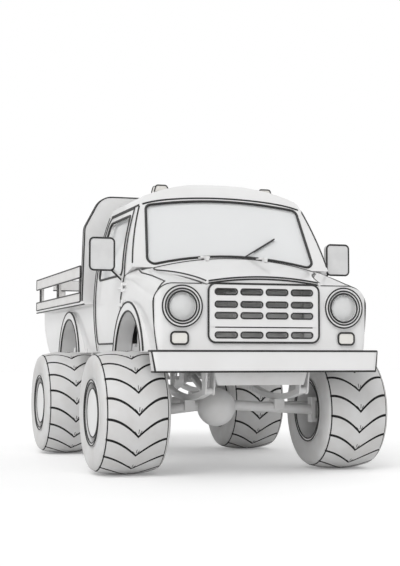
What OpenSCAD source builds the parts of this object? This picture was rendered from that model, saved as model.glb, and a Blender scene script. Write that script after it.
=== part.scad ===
// High-riding pickup truck with very large tyres, a short cab and a stake bed.
// Millimetres. The front faces -Y, the vehicle's left side is +X, the wheels stand on Z = 0.

/* [Overall] */
// Length from the bumper's face to the tail lamps
overall_l = 4700; // [4500:10:4900]
// From the bumper's face to the front axle
front_overhang = 850; // [820:5:880]
// Distance between the axles
wheelbase = 2340; // [2300:10:2400]

/* [Wheels] */
// Distance between the tyres' middles on one axle
track = 1900; // [1860:10:1960]
// Tyre radius out to the lugs' tips
tyre_r = 505; // [480:5:510]
// Tyre width over its walls
tyre_w = 566; // [480:2:570]
// Radius of the rim's bead seat
rim_r = 264; // [258:1:272]
// Radius of the hub bore that runs on its spindle
hub_bore_r = 30; // [26:1:34]
// Steering pivot, from the truck's middle
kingpin_x = 800; // [790:2:810]
// Length of the steering arms
steer_arm = 125; // [115:1:130]

/* [Chassis] */
// Underside of the frame rails
rail_z = 860; // [850:2:870]
// Height of a frame rail
rail_h = 120; // [100:2:130]
// Width of a frame rail
rail_w = 60; // [50:1:64]
// Frame rails' middles, from the truck's middle
rail_x = 400; // [390:1:410]
// Front differential's offset to the right
diff_x = 168; // [150:2:190]
// Radius of the round differential housings
diff_r = 160; // [140:2:165]
// Half of a leaf spring's span
spring_half = 560; // [520:5:580]
// Height of the bumper
bumper_h = 168; // [140:2:180]
// Width of the bumper
bumper_w = 1886; // [1760:2:1960]
// Underside of the bumper
bumper_z = 840; // [830:2:850]

/* [Body shell] */
// Greatest width of the body
body_w = 1800; // [1760:4:1816]
// Radius of the bowed body sides
side_r = 2400; // [2000:20:3200]
// Height of the body's widest line
waist_z = 1420; // [1380:5:1460]
// Lower edge of the body
body_z = 1000; // [996:1:1010]
// Top of the roof
roof_z = 2490; // [2450:5:2520]
// Radius of the roof's crown
roof_r = 1760; // [1600:20:2200]
// Radius of the roof's side corners
roof_corner_r = 80; // [70:1:110]
// Height of the gutter between the roof and the pillars
gutter_z = 2260; // [2240:2:2270]
// Thickness of the cab walls
wall_t = 45; // [36:1:50]
// Thickness of a door
door_t = 60; // [50:1:66]
// Thickness of the fenders and the hood
skin_t = 22; // [16:1:26]
// Gap between neighbouring panels
panel_gap = 7; // [6:0.5:9]

/* [Cab] */
// Windscreen foot, behind the front axle
screen_y = 0; // [-10:2:10]
// Windscreen foot's height at its corners
screen_z = 1720; // [1710:2:1726]
// Rake of the windscreen from upright
screen_rake = 27; // [25:0.5:29]
// Half width of the glass at its foot
screen_foot = 748; // [730:2:756]
// Half width of the glass at its head
screen_head = 690; // [660:2:700]
// Length of the glass up its side
screen_len = 600; // [590:2:610]
// Door's front edge, behind the front axle
door_front = 310; // [304:1:320]
// Door's rear edge, behind the front axle
door_rear = 1254; // [1240:2:1256]
// Door hinge line, behind the front axle
door_hinge_y = 205; // [200:1:212]
// Cab's back face, behind the front axle
cab_back = 1332; // [1330:1:1350]

/* [Front] */
// Nose face, ahead of the front axle
nose = 747; // [740:1:760]
// Headlamp middles, from the truck's middle
lamp_x = 681; // [676:1:690]
// Headlamp middles' height
lamp_z = 1351; // [1340:1:1360]
// Radius of a headlamp's outer ring
lamp_r = 163; // [150:1:166]
// Width of the grille
grille_w = 932; // [900:2:940]
// Underside of the grille
grille_z = 1071; // [1060:1:1080]
// Height of the grille
grille_h = 461; // [450:1:464]
// Slot columns in the grille
slot_cols = 4; // [3:1:5]
// Length of a grille slot
slot_l = 183; // [150:1:190]
// Height of a grille slot
slot_h = 45; // [36:1:48]
// Height of the hood's middle at the nose
hood_z = 1594; // [1590:1:1600]
// Slope of the hood
hood_slope = 15.6; // [15:0.1:16]
// Radius of the hood's crown
hood_r = 2850; // [2600:50:3200]

/* [Wheel arches] */
// Radius of the arch openings
arch_r = 420; // [410:2:424]
// Radius of the flares' outer edges
flare_r = 500; // [480:2:504]
// Height of the arches' middles
arch_z = 913; // [908:1:920]
// Flares' outer faces, from the truck's middle
flare_x = 930; // [920:1:940]

/* [Bed] */
// Half width over the bed boards
bed_half = 990; // [970:2:1000]
// Bed's front wall, behind the front axle
bed_front = 1470; // [1466:1:1490]
// Height of the load floor's top
bed_floor_z = 1100; // [1090:1:1104]
// Top of the bed walls, under the boards
bed_rail_z = 1480; // [1470:1:1490]
// Thickness of a bed board
board_t = 30; // [24:1:34]
// Height of the upper board's top
board_top_z = 1820; // [1800:2:1860]
// Height of the cab guard's top
guard_z = 2480; // [2440:5:2490]
// Thickness of the cab guard
guard_t = 60; // [50:1:64]

/* [Hidden] */
$fn = 96;
// Facets on the large, shallow arcs
arc_fn = 960;

// Seat gaps: still pieces that nest, running fits, and panels that move past each other
fit_gap = 0.3;
run_gap = 0.05;
door_rear_gap = 30;
far = 4000;

front_y = -overall_l / 2 + front_overhang;
rear_y = front_y + wheelbase;
nose_y = front_y - nose;
rear_end = overall_l / 2;
half_w = body_w / 2;
rail_top = rail_z + rail_h;
floor_t = 40;
floor_z = body_z + floor_t;
sill_z = body_z + 72;
door_z0 = sill_z + panel_gap;
door_z1 = gutter_z - 18;
belt_z = 1640;
firewall_y = front_y + 150;
firewall_t = 30;
back_y = front_y + cab_back;

// Paint and material colours
PAINT = [0.95, 0.95, 0.94];
CHASSIS = [0.84, 0.84, 0.84];
STEEL = [0.78, 0.78, 0.79];
GLASS = [0.90, 0.93, 0.94, 0.4];
RUBBER = [0.72, 0.72, 0.71];
WOOD = [0.93, 0.92, 0.89];
TRIM = [0.88, 0.88, 0.87];
SEAT = [0.86, 0.85, 0.83];
LAMP = [0.94, 0.92, 0.86];

// Outlines pulled along one axis: X, Y or Z, between two places
module along_x(x0, x1) { translate([x0, 0, 0]) rotate([90, 0, 90]) linear_extrude(x1 - x0) children(); }
module along_y(y0, y1) { translate([0, y1, 0]) rotate([90, 0, 0]) linear_extrude(y1 - y0) children(); }
module along_z(z0, z1) { translate([0, 0, z0]) linear_extrude(z1 - z0) children(); }
module block(p0, p1) { translate(p0) cube(p1 - p0); }
module both_sides() { children(); mirror([1, 0, 0]) children(); }
module on_side(side) { if (side > 0) children(); else mirror([1, 0, 0]) children(); }

function unit(v) = v / norm(v);
// One meeting point of two circles, on the left of the way from the first to the second for side = 1
function circles_meet(c1, r1, c2, r2, side) =
  let (d = c2 - c1, l = norm(d), a = (r1 * r1 - r2 * r2 + l * l) / (2 * l), h = sqrt(r1 * r1 - a * a))
  c1 + d * (a / l) + [-d[1], d[0]] * (side * h / l);
// Middle of the circle through three points
function circle_middle(p, q, s) =
  let (a = q - p, b = s - p, k = 2 * (a[0] * b[1] - a[1] * b[0]), aa = a * a, bb = b * b)
  p + [b[1] * aa - a[1] * bb, a[0] * bb - b[0] * aa] / k;

// What lies outside an arc of radius r between two outward directions
module corner_cut(c, n1, n2, r) {
  reach = 3 * r + 60;
  difference() {
    polygon([c, c + n1 * reach, c + (n1 + n2) * reach, c + n2 * reach]);
    translate(c) circle(r);
  }
}

// Polygon with arcs at its corners: each row is [point, radius], in anticlockwise order
module rounded_polygon(rows) {
  n = len(rows);
  difference() {
    polygon([for (row = rows) row[0]]);
    for (i = [0 : n - 1]) {
      p = rows[i][0];
      r = rows[i][1];
      d1 = unit(p - rows[(i + n - 1) % n][0]);
      d2 = unit(rows[(i + 1) % n][0] - p);
      n1 = [d1[1], -d1[0]];
      n2 = [d2[1], -d2[0]];
      if (r > 0) {
        c = p - (n1 + n2) * (r / (1 + n1 * n2));
        difference() {
          polygon([c, c + n1 * r + n1, p + (n1 + n2), c + n2 * r + n2]);
          translate(c) circle(r);
        }
      }
    }
  }
}
// The same outline as flats, for corners that aren't square: arc_steps flats to each corner
arc_steps = 6;
function corner_points(a, p, b, r) =
  let (d1 = unit(p - a), d2 = unit(b - p), n1 = [d1[1], -d1[0]], n2 = [d2[1], -d2[0]])
  let (turn = d1[0] * d2[1] - d1[1] * d2[0] > 0 ? 1 : -1, c = p - (n1 + n2) * (turn * r / (1 + n1 * n2)))
  let (a1 = atan2(n1[1], n1[0]), sweep = turn * acos(min(1, n1 * n2)))
  r <= 0 ? [p] : [for (i = [0 : arc_steps]) let (a = a1 + sweep * i / arc_steps) c + turn * r * [cos(a), sin(a)]];
module smooth_polygon(rows) {
  n = len(rows);
  polygon([for (i = [0 : n - 1])
    each corner_points(rows[(i + n - 1) % n][0], rows[i][0], rows[(i + 1) % n][0], rows[i][1])]);
}
module rounded_box(w, h, r) {
  rounded_polygon([[[-w / 2, -h / 2], r], [[w / 2, -h / 2], r], [[w / 2, h / 2], r], [[-w / 2, h / 2], r]]);
}

// Body section across the truck, open below the roof: bowed sides, set inwards by inset
module bowed_sides(inset, foot) {
  intersection() {
    translate([half_w - side_r, waist_z]) circle(side_r - inset, $fn = arc_fn);
    translate([side_r - half_w, waist_z]) circle(side_r - inset, $fn = arc_fn);
    translate([-half_w, body_z + foot]) square([body_w, roof_z - body_z]);
  }
}
module cab_section(inset) {
  side_c = [half_w - side_r, waist_z];
  roof_c = [0, roof_z - roof_r];
  c = circles_meet(side_c, side_r - roof_corner_r, roof_c, roof_r - roof_corner_r, 1);
  difference() {
    intersection() {
      bowed_sides(inset, -inset);
      translate(roof_c) circle(roof_r - inset, $fn = arc_fn);
    }
    for (s = [1, -1]) mirror([s < 0 ? 1 : 0, 0])
      corner_cut(c, unit(c - side_c), unit(c - roof_c), roof_corner_r - inset);
  }
}

// Side view of the cab: raked windscreen, rounded brow and back, flat firewall below
screen_dir = [sin(screen_rake), cos(screen_rake)];
screen_out = [-cos(screen_rake), sin(screen_rake)];
screen_foot_p = [front_y + screen_y, screen_z];
brow_r = 170;
nape_r = 120;
module cab_profile(inset) {
  foot = screen_foot_p - screen_out * inset;
  low = foot + screen_dir * ((1500 - foot[1]) / screen_dir[1]);
  high = foot + screen_dir * ((roof_z - inset - foot[1]) / screen_dir[1]);
  rounded_polygon([
    [[back_y - inset, 1000], 0],
    [[back_y - inset, roof_z - inset], nape_r - inset],
    [high, brow_r - inset],
    [low, 0],
    [[firewall_y, 1500], 0],
    [[firewall_y, 1000], 0]]);
}
module cab_solid(inset) {
  intersection() {
    along_y(front_y - 400, back_y) cab_section(inset);
    along_x(-half_w, half_w) cab_profile(inset);
  }
}
module cab_shell(thick) {
  difference() {
    cab_solid(0);
    cab_solid(thick);
  }
}

// Windscreen place: X across, Y up the glass, Z out of the cab
module on_screen() {
  translate([0, screen_foot_p[0], screen_foot_p[1]]) rotate([90 - screen_rake, 0, 0]) children();
}
screen_arch = 70;
screen_crown = 110;
screen_corner = 60;
screen_steps = 8;
module screen_outline(inset) {
  foot = screen_foot - inset;
  head = screen_head - inset;
  function across(i) = 2 * i / screen_steps - 1;
  function corner(i) = i == 0 || i == screen_steps ? screen_corner : 0;
  smooth_polygon(concat(
    [for (i = [0 : screen_steps])
      [[across(i) * foot, screen_crown * (1 - across(i) * across(i)) + inset], corner(i)]],
    [for (i = [screen_steps : -1 : 0])
      [[across(i) * head, screen_len + screen_arch * (1 - across(i) * across(i)) - inset], corner(i)]]));
}

// Door outline and window in side view
door_top_front = front_y + 395;
module door_outline(gap) {
  smooth_polygon([
    [[front_y + door_rear + gap, door_z0 - gap], 40],
    [[front_y + door_rear + gap, door_z1 + gap], 70],
    [[door_top_front - gap, door_z1 + gap], 60],
    [[front_y + door_hinge_y + 18 - gap, belt_z + 4], 30],
    [[front_y + door_front - gap, belt_z - 190], 160],
    [[front_y + door_front - gap, door_z0 - gap], 20]]);
}
module window_outline(inset) {
  smooth_polygon([
    [[front_y + door_rear - 92 - inset, belt_z + 22 + inset], 50],
    [[front_y + door_rear - 92 - inset, door_z1 - 58 - inset], 50],
    [[door_top_front + 62 + inset, door_z1 - 58 - inset], 50],
    [[front_y + door_hinge_y + 98 + inset, belt_z + 22 + inset], 50]]);
}
module arch_circle(y, r) { translate([y, arch_z]) circle(r); }

// Hinge knuckle and pin, pin along Z, middle at the origin: one barrel between two fixed lugs
hinge_r = 11;
hinge_pin_r = 5;
hinge_l = 26;
module hinge_barrel() {
  difference() {
    cylinder(r = hinge_r, h = hinge_l, center = true);
    cylinder(r = hinge_pin_r + run_gap, h = hinge_l + 2, center = true);
  }
}
module hinge_lugs() {
  cylinder(r = hinge_pin_r, h = 3 * hinge_l, center = true);
  for (s = [-1, 1]) translate([0, 0, s * (hinge_l + fit_gap)])
    cylinder(r = hinge_r, h = hinge_l, center = true);
}

// Chassis
spring_eye_z = 690;
spring_pad_z = 600;
spring_t = 44;
spring_w = 56;
eye_r = 26;
eye_pin_r = 12;
hanger_t = 12;
cross_t = 70;
spring_axles = [front_y, rear_y];
tow_plate = [70, 64, 30];
tow_y = rear_end - 50;
tow_z = rail_z + 40;
tow_pin_r = 16;
cross_y = [nose_y + 40, front_y + 1250, rear_y - 420, rear_y + 420, rear_end - 110];
sump_y = front_y - 250;
cradle_y = front_y + 840;
cradle_t = 30;

module rail_section() {
  difference() {
    translate([-rail_w / 2, 0]) square([rail_w, rail_h]);
    translate([-rail_w / 2 - 8, 9]) square([rail_w, rail_h - 18]);
  }
}
// Spring hangers: half widths at the spring's eye and at the rail
hanger_foot = 34;
hanger_top = 70;
module spring_hanger() {
  for (s = [-1, 1]) along_x(s * (spring_w / 2 + fit_gap + hanger_t / 2) - hanger_t / 2,
                            s * (spring_w / 2 + fit_gap + hanger_t / 2) + hanger_t / 2)
    rounded_polygon([
      [[-hanger_foot, spring_eye_z - hanger_foot], 30], [[hanger_foot, spring_eye_z - hanger_foot], 30],
      [[hanger_top, rail_z + 4], 0], [[-hanger_top, rail_z + 4], 0]]);
  translate([0, 0, spring_eye_z]) rotate([0, 90, 0])
    cylinder(r = eye_pin_r, h = spring_w + 2 * hanger_t, center = true);
}
module frame() {
  color(CHASSIS) {
    both_sides() translate([rail_x, 0, rail_z]) along_y(rail_front, rear_end - 70) rail_section();
    for (y = cross_y) block([-rail_x - rail_w / 2 + 4, y - cross_t / 2, rail_z + 5],
                            [rail_x + rail_w / 2 - 4, y + cross_t / 2, rail_top - 5]);
    both_sides() for (a = spring_axles, s = [-1, 1])
      translate([rail_x, a + s * spring_half, 0]) spring_hanger();
    block([-rail_x, sump_y - cross_t / 2, rail_z + 5], [rail_x, sump_y + cross_t / 2, sump_z]);
    along_y(cradle_y - cross_t / 2, cradle_y + cross_t / 2) polygon([
      [-rail_x, rail_z + 4], [-rail_x + 60, gearbox_z - cradle_t], [rail_x - 60, gearbox_z - cradle_t],
      [rail_x, rail_z + 4], [rail_x - 40, rail_z + 4], [rail_x - 80, gearbox_z], [-rail_x + 80, gearbox_z],
      [-rail_x + 40, rail_z + 4]]);
    both_sides() block([rail_x - rail_w / 2, nose_y + 9, rail_top - 4],
                       [rail_x + rail_w / 2, nose_y + nose_t, nose_low]);
    along_y(nose_y + 60, nose_y + 90)
      polygon([[-rail_x, rail_z + 4], [-rail_x + 40, 735], [rail_x - 40, 735], [rail_x, rail_z + 4]]);
    translate([0, tow_y, tow_z]) difference() {
      along_z(0, tow_plate[2]) translate([-tow_plate[0], -60])
        square([2 * tow_plate[0], 60 + tow_plate[1] / 2]);
      translate([0, 0, -1]) cylinder(r = tow_pin_r, h = tow_plate[2] + 2);
    }
    both_sides() for (y = [firewall_y + 160, back_y - 160])
      translate([rail_x, y, rail_top - 4]) cylinder(r = 45, h = body_z - rail_top + 4);
  }
}

engine_w = 460;
engine_z1 = 1480;
sump_z = rail_top - 90;
gearbox = [300, 210, 60];
gearbox_z = rail_top - 195;
// Transfer case: size, and the place of its low front corner
transfer_size = [150, 145, 130];
transfer_at = [-250, front_y + 595, rail_z - 125];
module engine_block() {
  color(STEEL) {
    block([-engine_w / 2, nose_y + 230, rail_top], [engine_w / 2, firewall_y - 60, engine_z1]);
    block([-230, nose_y + 110, rail_top + 60], [230, nose_y + 231, rail_top + 380]);
    block([-170, nose_y + 300, sump_z], [170, firewall_y - 100, rail_top + 1]);
    along_y(firewall_y - 61, front_y + 960)
      translate([0, gearbox_z + gearbox[1] / 2]) rounded_box(gearbox[0], gearbox[1], gearbox[2]);
    block(transfer_at, transfer_at + transfer_size);
    tube_between(toward(front_shaft_1, front_shaft_0, -fit_gap),
                 toward(front_shaft_1, front_shaft_0, -70), 45);
    tube_between(toward(rear_shaft_1, rear_shaft_0, -fit_gap),
                 toward(rear_shaft_1, rear_shaft_0, -80), 50);
  }
}

axle_z = tyre_r;
diff_z = axle_z + 35;
diff_y = front_y - 60;
tube_r = 42;
yoke_in = kingpin_x - 95;
yoke_h = 76;
yoke_t = 30;
kingpin_r = 16;
spring_pad = [90, 130];
module tube_between(p0, p1, r) {
  d = p1 - p0;
  l = norm(d);
  translate(p0) rotate([0, acos(d[2] / l), atan2(d[1], d[0])]) cylinder(r = r, h = l);
}
module spring_pads(y) {
  both_sides() block([rail_x - spring_pad[0] / 2, y - spring_pad[1] / 2, axle_z + 10],
                     [rail_x + spring_pad[0] / 2, y + spring_pad[1] / 2, spring_pad_z]);
}
front_shaft_0 = [-diff_x, diff_y, diff_z];
front_shaft_1 = [-diff_x, front_y + 560, rail_z - 80];
rear_shaft_0 = [0, rear_y, axle_z];
rear_shaft_1 = [0, front_y + 990, rail_z - 10];
front_nose = [diff_r + 2, 38];
rear_nose = [diff_r + 70, 55];
function toward(a, b, l) = a + unit(b - a) * l;
module front_axle() {
  color(CHASSIS) difference() {
    union() {
      translate([-diff_x, diff_y, diff_z]) sphere(diff_r);
      tube_between(front_shaft_0, toward(front_shaft_0, front_shaft_1, front_nose[0]), front_nose[1]);
      for (s = [-1, 1])
        tube_between([-diff_x + s * 60, front_y - 20, diff_z + 20], [s * (yoke_in + 20), front_y, axle_z], tube_r);
      spring_pads(front_y);
      both_sides() {
        block([yoke_in, front_y - 45, axle_z - yoke_h - yoke_t],
              [yoke_in + 36, front_y + 45, axle_z + yoke_h + yoke_t]);
        for (s = [-1, 1]) {
          block([yoke_in, front_y - 40, axle_z + s * (yoke_h + yoke_t / 2) - yoke_t / 2],
                [kingpin_x, front_y + 40, axle_z + s * (yoke_h + yoke_t / 2) + yoke_t / 2]);
          translate([kingpin_x, front_y, axle_z + s * (yoke_h + yoke_t / 2)])
            cylinder(r = 40, h = yoke_t, center = true);
        }
      }
    }
    both_sides() translate([kingpin_x, front_y, axle_z])
      cylinder(r = kingpin_r + run_gap, h = 400, center = true);
  }
}

spindle_r = hub_bore_r - run_gap;
wheel_x = track / 2;
spindle_end = wheel_x + 170;
hub_in = wheel_x - 40;
module rear_axle() {
  color(CHASSIS) {
    translate([0, rear_y, axle_z]) sphere(diff_r);
    tube_between(rear_shaft_0, toward(rear_shaft_0, rear_shaft_1, rear_nose[0]), rear_nose[1]);
    spring_pads(rear_y);
    translate([0, rear_y, axle_z]) rotate([0, 90, 0]) {
      cylinder(r = tube_r, h = 2 * (hub_in - 60), center = true);
      cylinder(r = spindle_r, h = 2 * spindle_end, center = true);
    }
    both_sides() translate([hub_in - 60, rear_y, axle_z]) rotate([0, 90, 0]) cylinder(r = 150, h = 50);
  }
}
module propshafts() {
  color(STEEL) {
    tube_between(toward(front_shaft_0, front_shaft_1, front_nose[0] + fit_gap), front_shaft_1, 32);
    tube_between(toward(rear_shaft_0, rear_shaft_1, rear_nose[0] + fit_gap), rear_shaft_1, 40);
  }
}
spring_sag = spring_eye_z - spring_pad_z - spring_t / 2;
spring_r = (spring_half * spring_half + spring_sag * spring_sag) / (2 * spring_sag);
module leaf_spring() {
  along_x(-spring_w / 2, spring_w / 2) difference() {
    union() {
      intersection() {
        translate([-spring_half, spring_pad_z]) square([2 * spring_half, 200]);
        difference() {
          translate([0, spring_pad_z + spring_r]) circle(spring_r, $fn = arc_fn);
          translate([0, spring_pad_z + spring_r]) circle(spring_r - spring_t, $fn = arc_fn);
        }
      }
      for (s = [-1, 1]) translate([s * spring_half, spring_eye_z]) circle(eye_r);
    }
    for (s = [-1, 1]) translate([s * spring_half, spring_eye_z]) circle(eye_pin_r + run_gap);
  }
}
module leaf_springs() {
  color(CHASSIS) for (s = [-1, 1], y = spring_axles) translate([s * rail_x, y, 0]) leaf_spring();
}

bumper_d = 110;
bumper_t = 8;
// The ends lean in by this much at the foot
bumper_taper = 24;
rail_front = -overall_l / 2 + bumper_t;
module bumper_plan(inset) {
  y0 = -overall_l / 2 + inset;
  y1 = -overall_l / 2 + bumper_d + (inset > 0 ? 1 : 0);
  w = (bumper_w + bumper_taper) / 2 - inset;
  rounded_polygon([[[-w, y0], 60 - inset], [[w, y0], 60 - inset], [[w, y1], 0], [[-w, y1], 0]]);
}
module bumper_ends(inset) {
  w = bumper_w / 2 - inset;
  along_y(-overall_l / 2 - 1, -overall_l / 2 + bumper_d + 2) polygon([
    [-w + bumper_taper, bumper_z], [w - bumper_taper, bumper_z],
    [w, bumper_z + bumper_h], [-w, bumper_z + bumper_h]]);
}
module front_bumper() {
  color(PAINT) difference() {
    intersection() {
      along_z(bumper_z, bumper_z + bumper_h) bumper_plan(0);
      bumper_ends(0);
    }
    intersection() {
      along_z(bumper_z + bumper_t, bumper_z + bumper_h - bumper_t) bumper_plan(bumper_t);
      bumper_ends(bumper_t);
    }
  }
}
tank = [300, 640, 270];
tank_y = front_y + bed_front - 430;
module fuel_tank() {
  x0 = rail_x + rail_w / 2 + fit_gap;
  color(STEEL) translate([x0, 0, 0]) along_y(tank_y, tank_y + tank[1])
    translate([tank[0] / 2, rail_top - 5 - tank[2] / 2]) rounded_box(tank[0], tank[2], 70);
}

// Cab
cab_region_low = screen_z - 15;
pillar_y0 = front_y + 100;
// Hinge pillar steps: [inset from the body side, underside, top]
pillar_steps = [
  [skin_t + fit_gap, floor_z, 1500],
  [skin_t + panel_gap + 35, floor_z, cab_region_low + 30],
  [skin_t + panel_gap, cab_region_low - 27, cab_region_low + 30]];
pillar_y1 = front_y + door_hinge_y - 8;
module above(z) { translate([-far, -far, z]) cube(2 * far); }
module below(z) { translate([-far, -far, z - 2 * far]) cube(2 * far); }
seat_box = [[-640, 640, floor_z], [640, 1110, 1240]];
module cab_floor() {
  color(PAINT) difference() {
    union() {
      intersection() {
        along_y(firewall_y, back_y - wall_t) bowed_sides(door_t + panel_gap, 0);
        along_z(body_z, floor_z) square(2 * far, center = true);
      }
      intersection() {
        along_y(front_y + door_front, front_y + door_rear) bowed_sides(0, 0);
        both_sides() along_z(body_z, sill_z) translate([half_w - 160, -far]) square([160, 2 * far]);
      }
      difference() {
        translate([0, front_y, 0]) block(seat_box[0], seat_box[1]);
        translate([0, front_y, 0]) block(seat_box[0] + [20, -1, -1], seat_box[1] - [20, 20, 20]);
      }
    }
    both_sides() along_x(flare_in - panel_gap, half_w + 100) arch_circle(front_arch_y, flare_r + panel_gap);
  }
}
cowl_front = front_y - 43;
hood_rear = front_y - 50;
cowl_z = hood_z + (hood_rear - nose_y) * tan(hood_slope);
cowl_half = half_w - 104;
// Width and height cut from the firewall's upper corners, below the fenders' shoulders
firewall_corner = [60, 80];
module crown_slab(top, thick) {
  difference() {
    translate([0, top - hood_r]) circle(hood_r, $fn = arc_fn);
    translate([0, top - hood_r]) circle(hood_r - thick, $fn = arc_fn);
  }
}
hood_hinge_x = 260;
hood_axis = [0, front_y - 46, cowl_z + 6];
module at_hood_hinges() {
  for (s = [-1, 1]) translate([s * hood_hinge_x, hood_axis[1], hood_axis[2]]) rotate([0, 90, 0]) children();
}
module cab_front() {
  color(PAINT) difference() {
    union() {
      intersection() {
        cab_shell(wall_t);
        along_x(-half_w, half_w) polygon([
          [front_y - 200, cab_region_low],
          [front_y, cab_region_low],
          [front_y + door_hinge_y + 18 - panel_gap, belt_z + panel_gap],
          [door_top_front - panel_gap, door_z1],
          [door_top_front - panel_gap, gutter_z],
          [front_y - 200, gutter_z]]);
      }
      intersection() {
        along_y(cowl_front, firewall_y + firewall_t) crown_slab(cowl_z, skin_t);
        block([-cowl_half, cowl_front, body_z], [cowl_half, firewall_y + firewall_t, far]);
      }
      intersection() {
        along_y(firewall_y, firewall_y + firewall_t) difference() {
          intersection() {
            bowed_sides(skin_t + panel_gap, 0);
            translate([0, cowl_z - hood_r]) circle(hood_r - 1, $fn = arc_fn);
          }
          for (s = [-1, 1]) translate([s * half_w - firewall_corner[0], cab_region_low - firewall_corner[1]])
            square(2 * firewall_corner);
        }
        above(floor_z);
      }
      for (step = pillar_steps) intersection() {
        along_y(pillar_y0, pillar_y1) bowed_sides(step[0], 0);
        both_sides() block([700, pillar_y0, step[1]], [half_w, pillar_y1, step[2]]);
      }
      at_hood_hinges() hinge_lugs();
      for (s = [-1, 1], k = [-1, 1])
        block([s * hood_hinge_x + k * (hinge_l + fit_gap) - hinge_l / 2, hood_axis[1], cowl_z - 30],
              [s * hood_hinge_x + k * (hinge_l + fit_gap) + hinge_l / 2, hood_axis[1] + 70, cowl_z + 12]);
    }
    on_screen() translate([0, 0, -400]) linear_extrude(500) screen_outline(0);
    both_sides() along_x(flare_in - panel_gap, half_w + 100) arch_circle(front_arch_y, flare_r + panel_gap);
  }
}
module cab_roof() {
  color(PAINT) difference() {
    intersection() {
      cab_shell(wall_t);
      above(gutter_z);
    }
    on_screen() translate([0, 0, -200]) linear_extrude(300) screen_outline(0);
  }
}
rear_glass = [980, 360, 60];
rear_glass_z = 1960;
module rear_glass_outline(inset) {
  translate([0, rear_glass_z])
    rounded_box(rear_glass[0] - 2 * inset, rear_glass[1] - 2 * inset, rear_glass[2]);
}
module cab_back() {
  color(PAINT) difference() {
    intersection() {
      cab_shell(wall_t);
      block([-far, front_y + door_rear + door_rear_gap, body_z], [far, back_y + 10, gutter_z]);
    }
    along_y(back_y - 2 * wall_t, back_y + 10) rear_glass_outline(0);
  }
}
glass_t = 6;
glass_depth = 20;
module cab_glass() {
  color(GLASS) {
    on_screen() translate([0, 0, -glass_depth]) linear_extrude(glass_t) screen_outline(fit_gap);
    along_y(back_y - glass_depth - glass_t, back_y - glass_depth) rear_glass_outline(fit_gap);
  }
}
dash_half = 690;
dash_z = [1440, 1700];
dash_y = firewall_y + firewall_t;
module dash_solid() {
  along_x(-dash_half, dash_half) rounded_polygon([
    [[dash_y, dash_z[0] + 90], 0], [[dash_y + 210, dash_z[0]], 30], [[dash_y + 250, dash_z[1] - 60], 50],
    [[dash_y + 170, dash_z[1]], 40], [[dash_y, dash_z[1] - 10], 0]]);
}
module dashboard() { color(TRIM) dash_solid(); }
wheel_hub = [380, front_y + 610, belt_z];
column_tilt = 52;
steering_r = 205;
module steering_wheel() {
  color(TRIM) difference() {
    translate(wheel_hub) rotate([-column_tilt, 0, 0]) {
      rotate_extrude() translate([steering_r, 0]) circle(15);
      for (a = [90, 210, 330]) rotate([0, 0, a]) translate([30, -14, -9]) cube([steering_r - 40, 28, 12]);
      translate([0, 0, -30]) cylinder(r = 46, h = 42);
      translate([0, 0, -300]) cylinder(r = 22, h = 275);
    }
    dash_solid();
    block([0, -far, 0], [far, dash_y + 150, far]);
  }
}
// Bench seat: cushion and back, each [width, depth or rise above the seat box, height]
cushion = [1400, 500, 170];
seat_back = [1400, 140, 560];
seat_y = front_y + 620;
module bench_seat() {
  foot = seat_box[1][2];
  color(SEAT) {
    along_y(seat_y, seat_y + cushion[1]) translate([0, foot + fit_gap + cushion[2] / 2])
      rounded_box(cushion[0], cushion[2], 50);
    along_y(seat_y + cushion[1] + 20, back_y - wall_t - fit_gap)
      translate([0, foot + seat_back[1] + seat_back[2] / 2]) rounded_box(seat_back[0], seat_back[2], 60);
  }
}

// Doors, the right one mirrored from the left
hinge_x = half_w + hinge_r + 6;
door_hinge_z = [1400, 1545];
module door(side) {
  color(PAINT) on_side(side) {
    difference() {
      intersection() {
        along_y(front_y, back_y) difference() {
          bowed_sides(0, 0);
          bowed_sides(door_t, -1);
        }
        along_x(0, half_w + 10) door_outline(0);
      }
      along_x(0, half_w + 10) window_outline(0);
      along_x(0, half_w + 10) arch_circle(front_arch_y, flare_r + panel_gap);
    }
    for (z = door_hinge_z) translate([0, front_y + door_hinge_y, z]) {
      translate([hinge_x, 0, 0]) hinge_barrel();
      difference() {
        block([hinge_x - hinge_r, 0, -hinge_l / 2],
              [hinge_x + 1, door_front - door_hinge_y + 60, hinge_l / 2]);
        translate([hinge_x, 0, 0]) cylinder(r = hinge_pin_r + 2, h = 2 * hinge_l, center = true);
      }
      block([half_w - 25, door_front - door_hinge_y + 12, -hinge_l / 2],
            [hinge_x, door_front - door_hinge_y + 60, hinge_l / 2]);
    }
  }
}
module door_right() { door(-1); }
module door_left() { door(1); }
module door_glass(side) {
  color(GLASS) on_side(side) intersection() {
    along_y(front_y, back_y) difference() {
      bowed_sides(door_t / 2 - glass_t / 2, 0);
      bowed_sides(door_t / 2 + glass_t / 2, -1);
    }
    along_x(0, half_w) window_outline(fit_gap);
  }
}
module door_glass_right() { door_glass(-1); }
module door_glass_left() { door_glass(1); }
mirror_head = [212, 66, 272];
mirror_c = [half_w + 184, front_y + 262, belt_z + 186];
mirror_foot = [half_w - 20, front_y + 268, belt_z - 40];
module door_mirror(side) {
  color(TRIM) on_side(side) difference() {
    union() {
      along_y(mirror_c[1] - mirror_head[1] / 2, mirror_c[1] + mirror_head[1] / 2)
        translate([mirror_c[0], mirror_c[2]]) rounded_box(mirror_head[0], mirror_head[2], 36);
      tube_between(mirror_foot, mirror_c + [-70, 0, -100], 11);
      translate(mirror_foot) rotate([0, 90, 0]) cylinder(r = 24, h = 30);
    }
    along_y(front_y, back_y) bowed_sides(0, 0);
  }
}
module mirror_right() { door_mirror(-1); }
module mirror_left() { door_mirror(1); }

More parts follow.
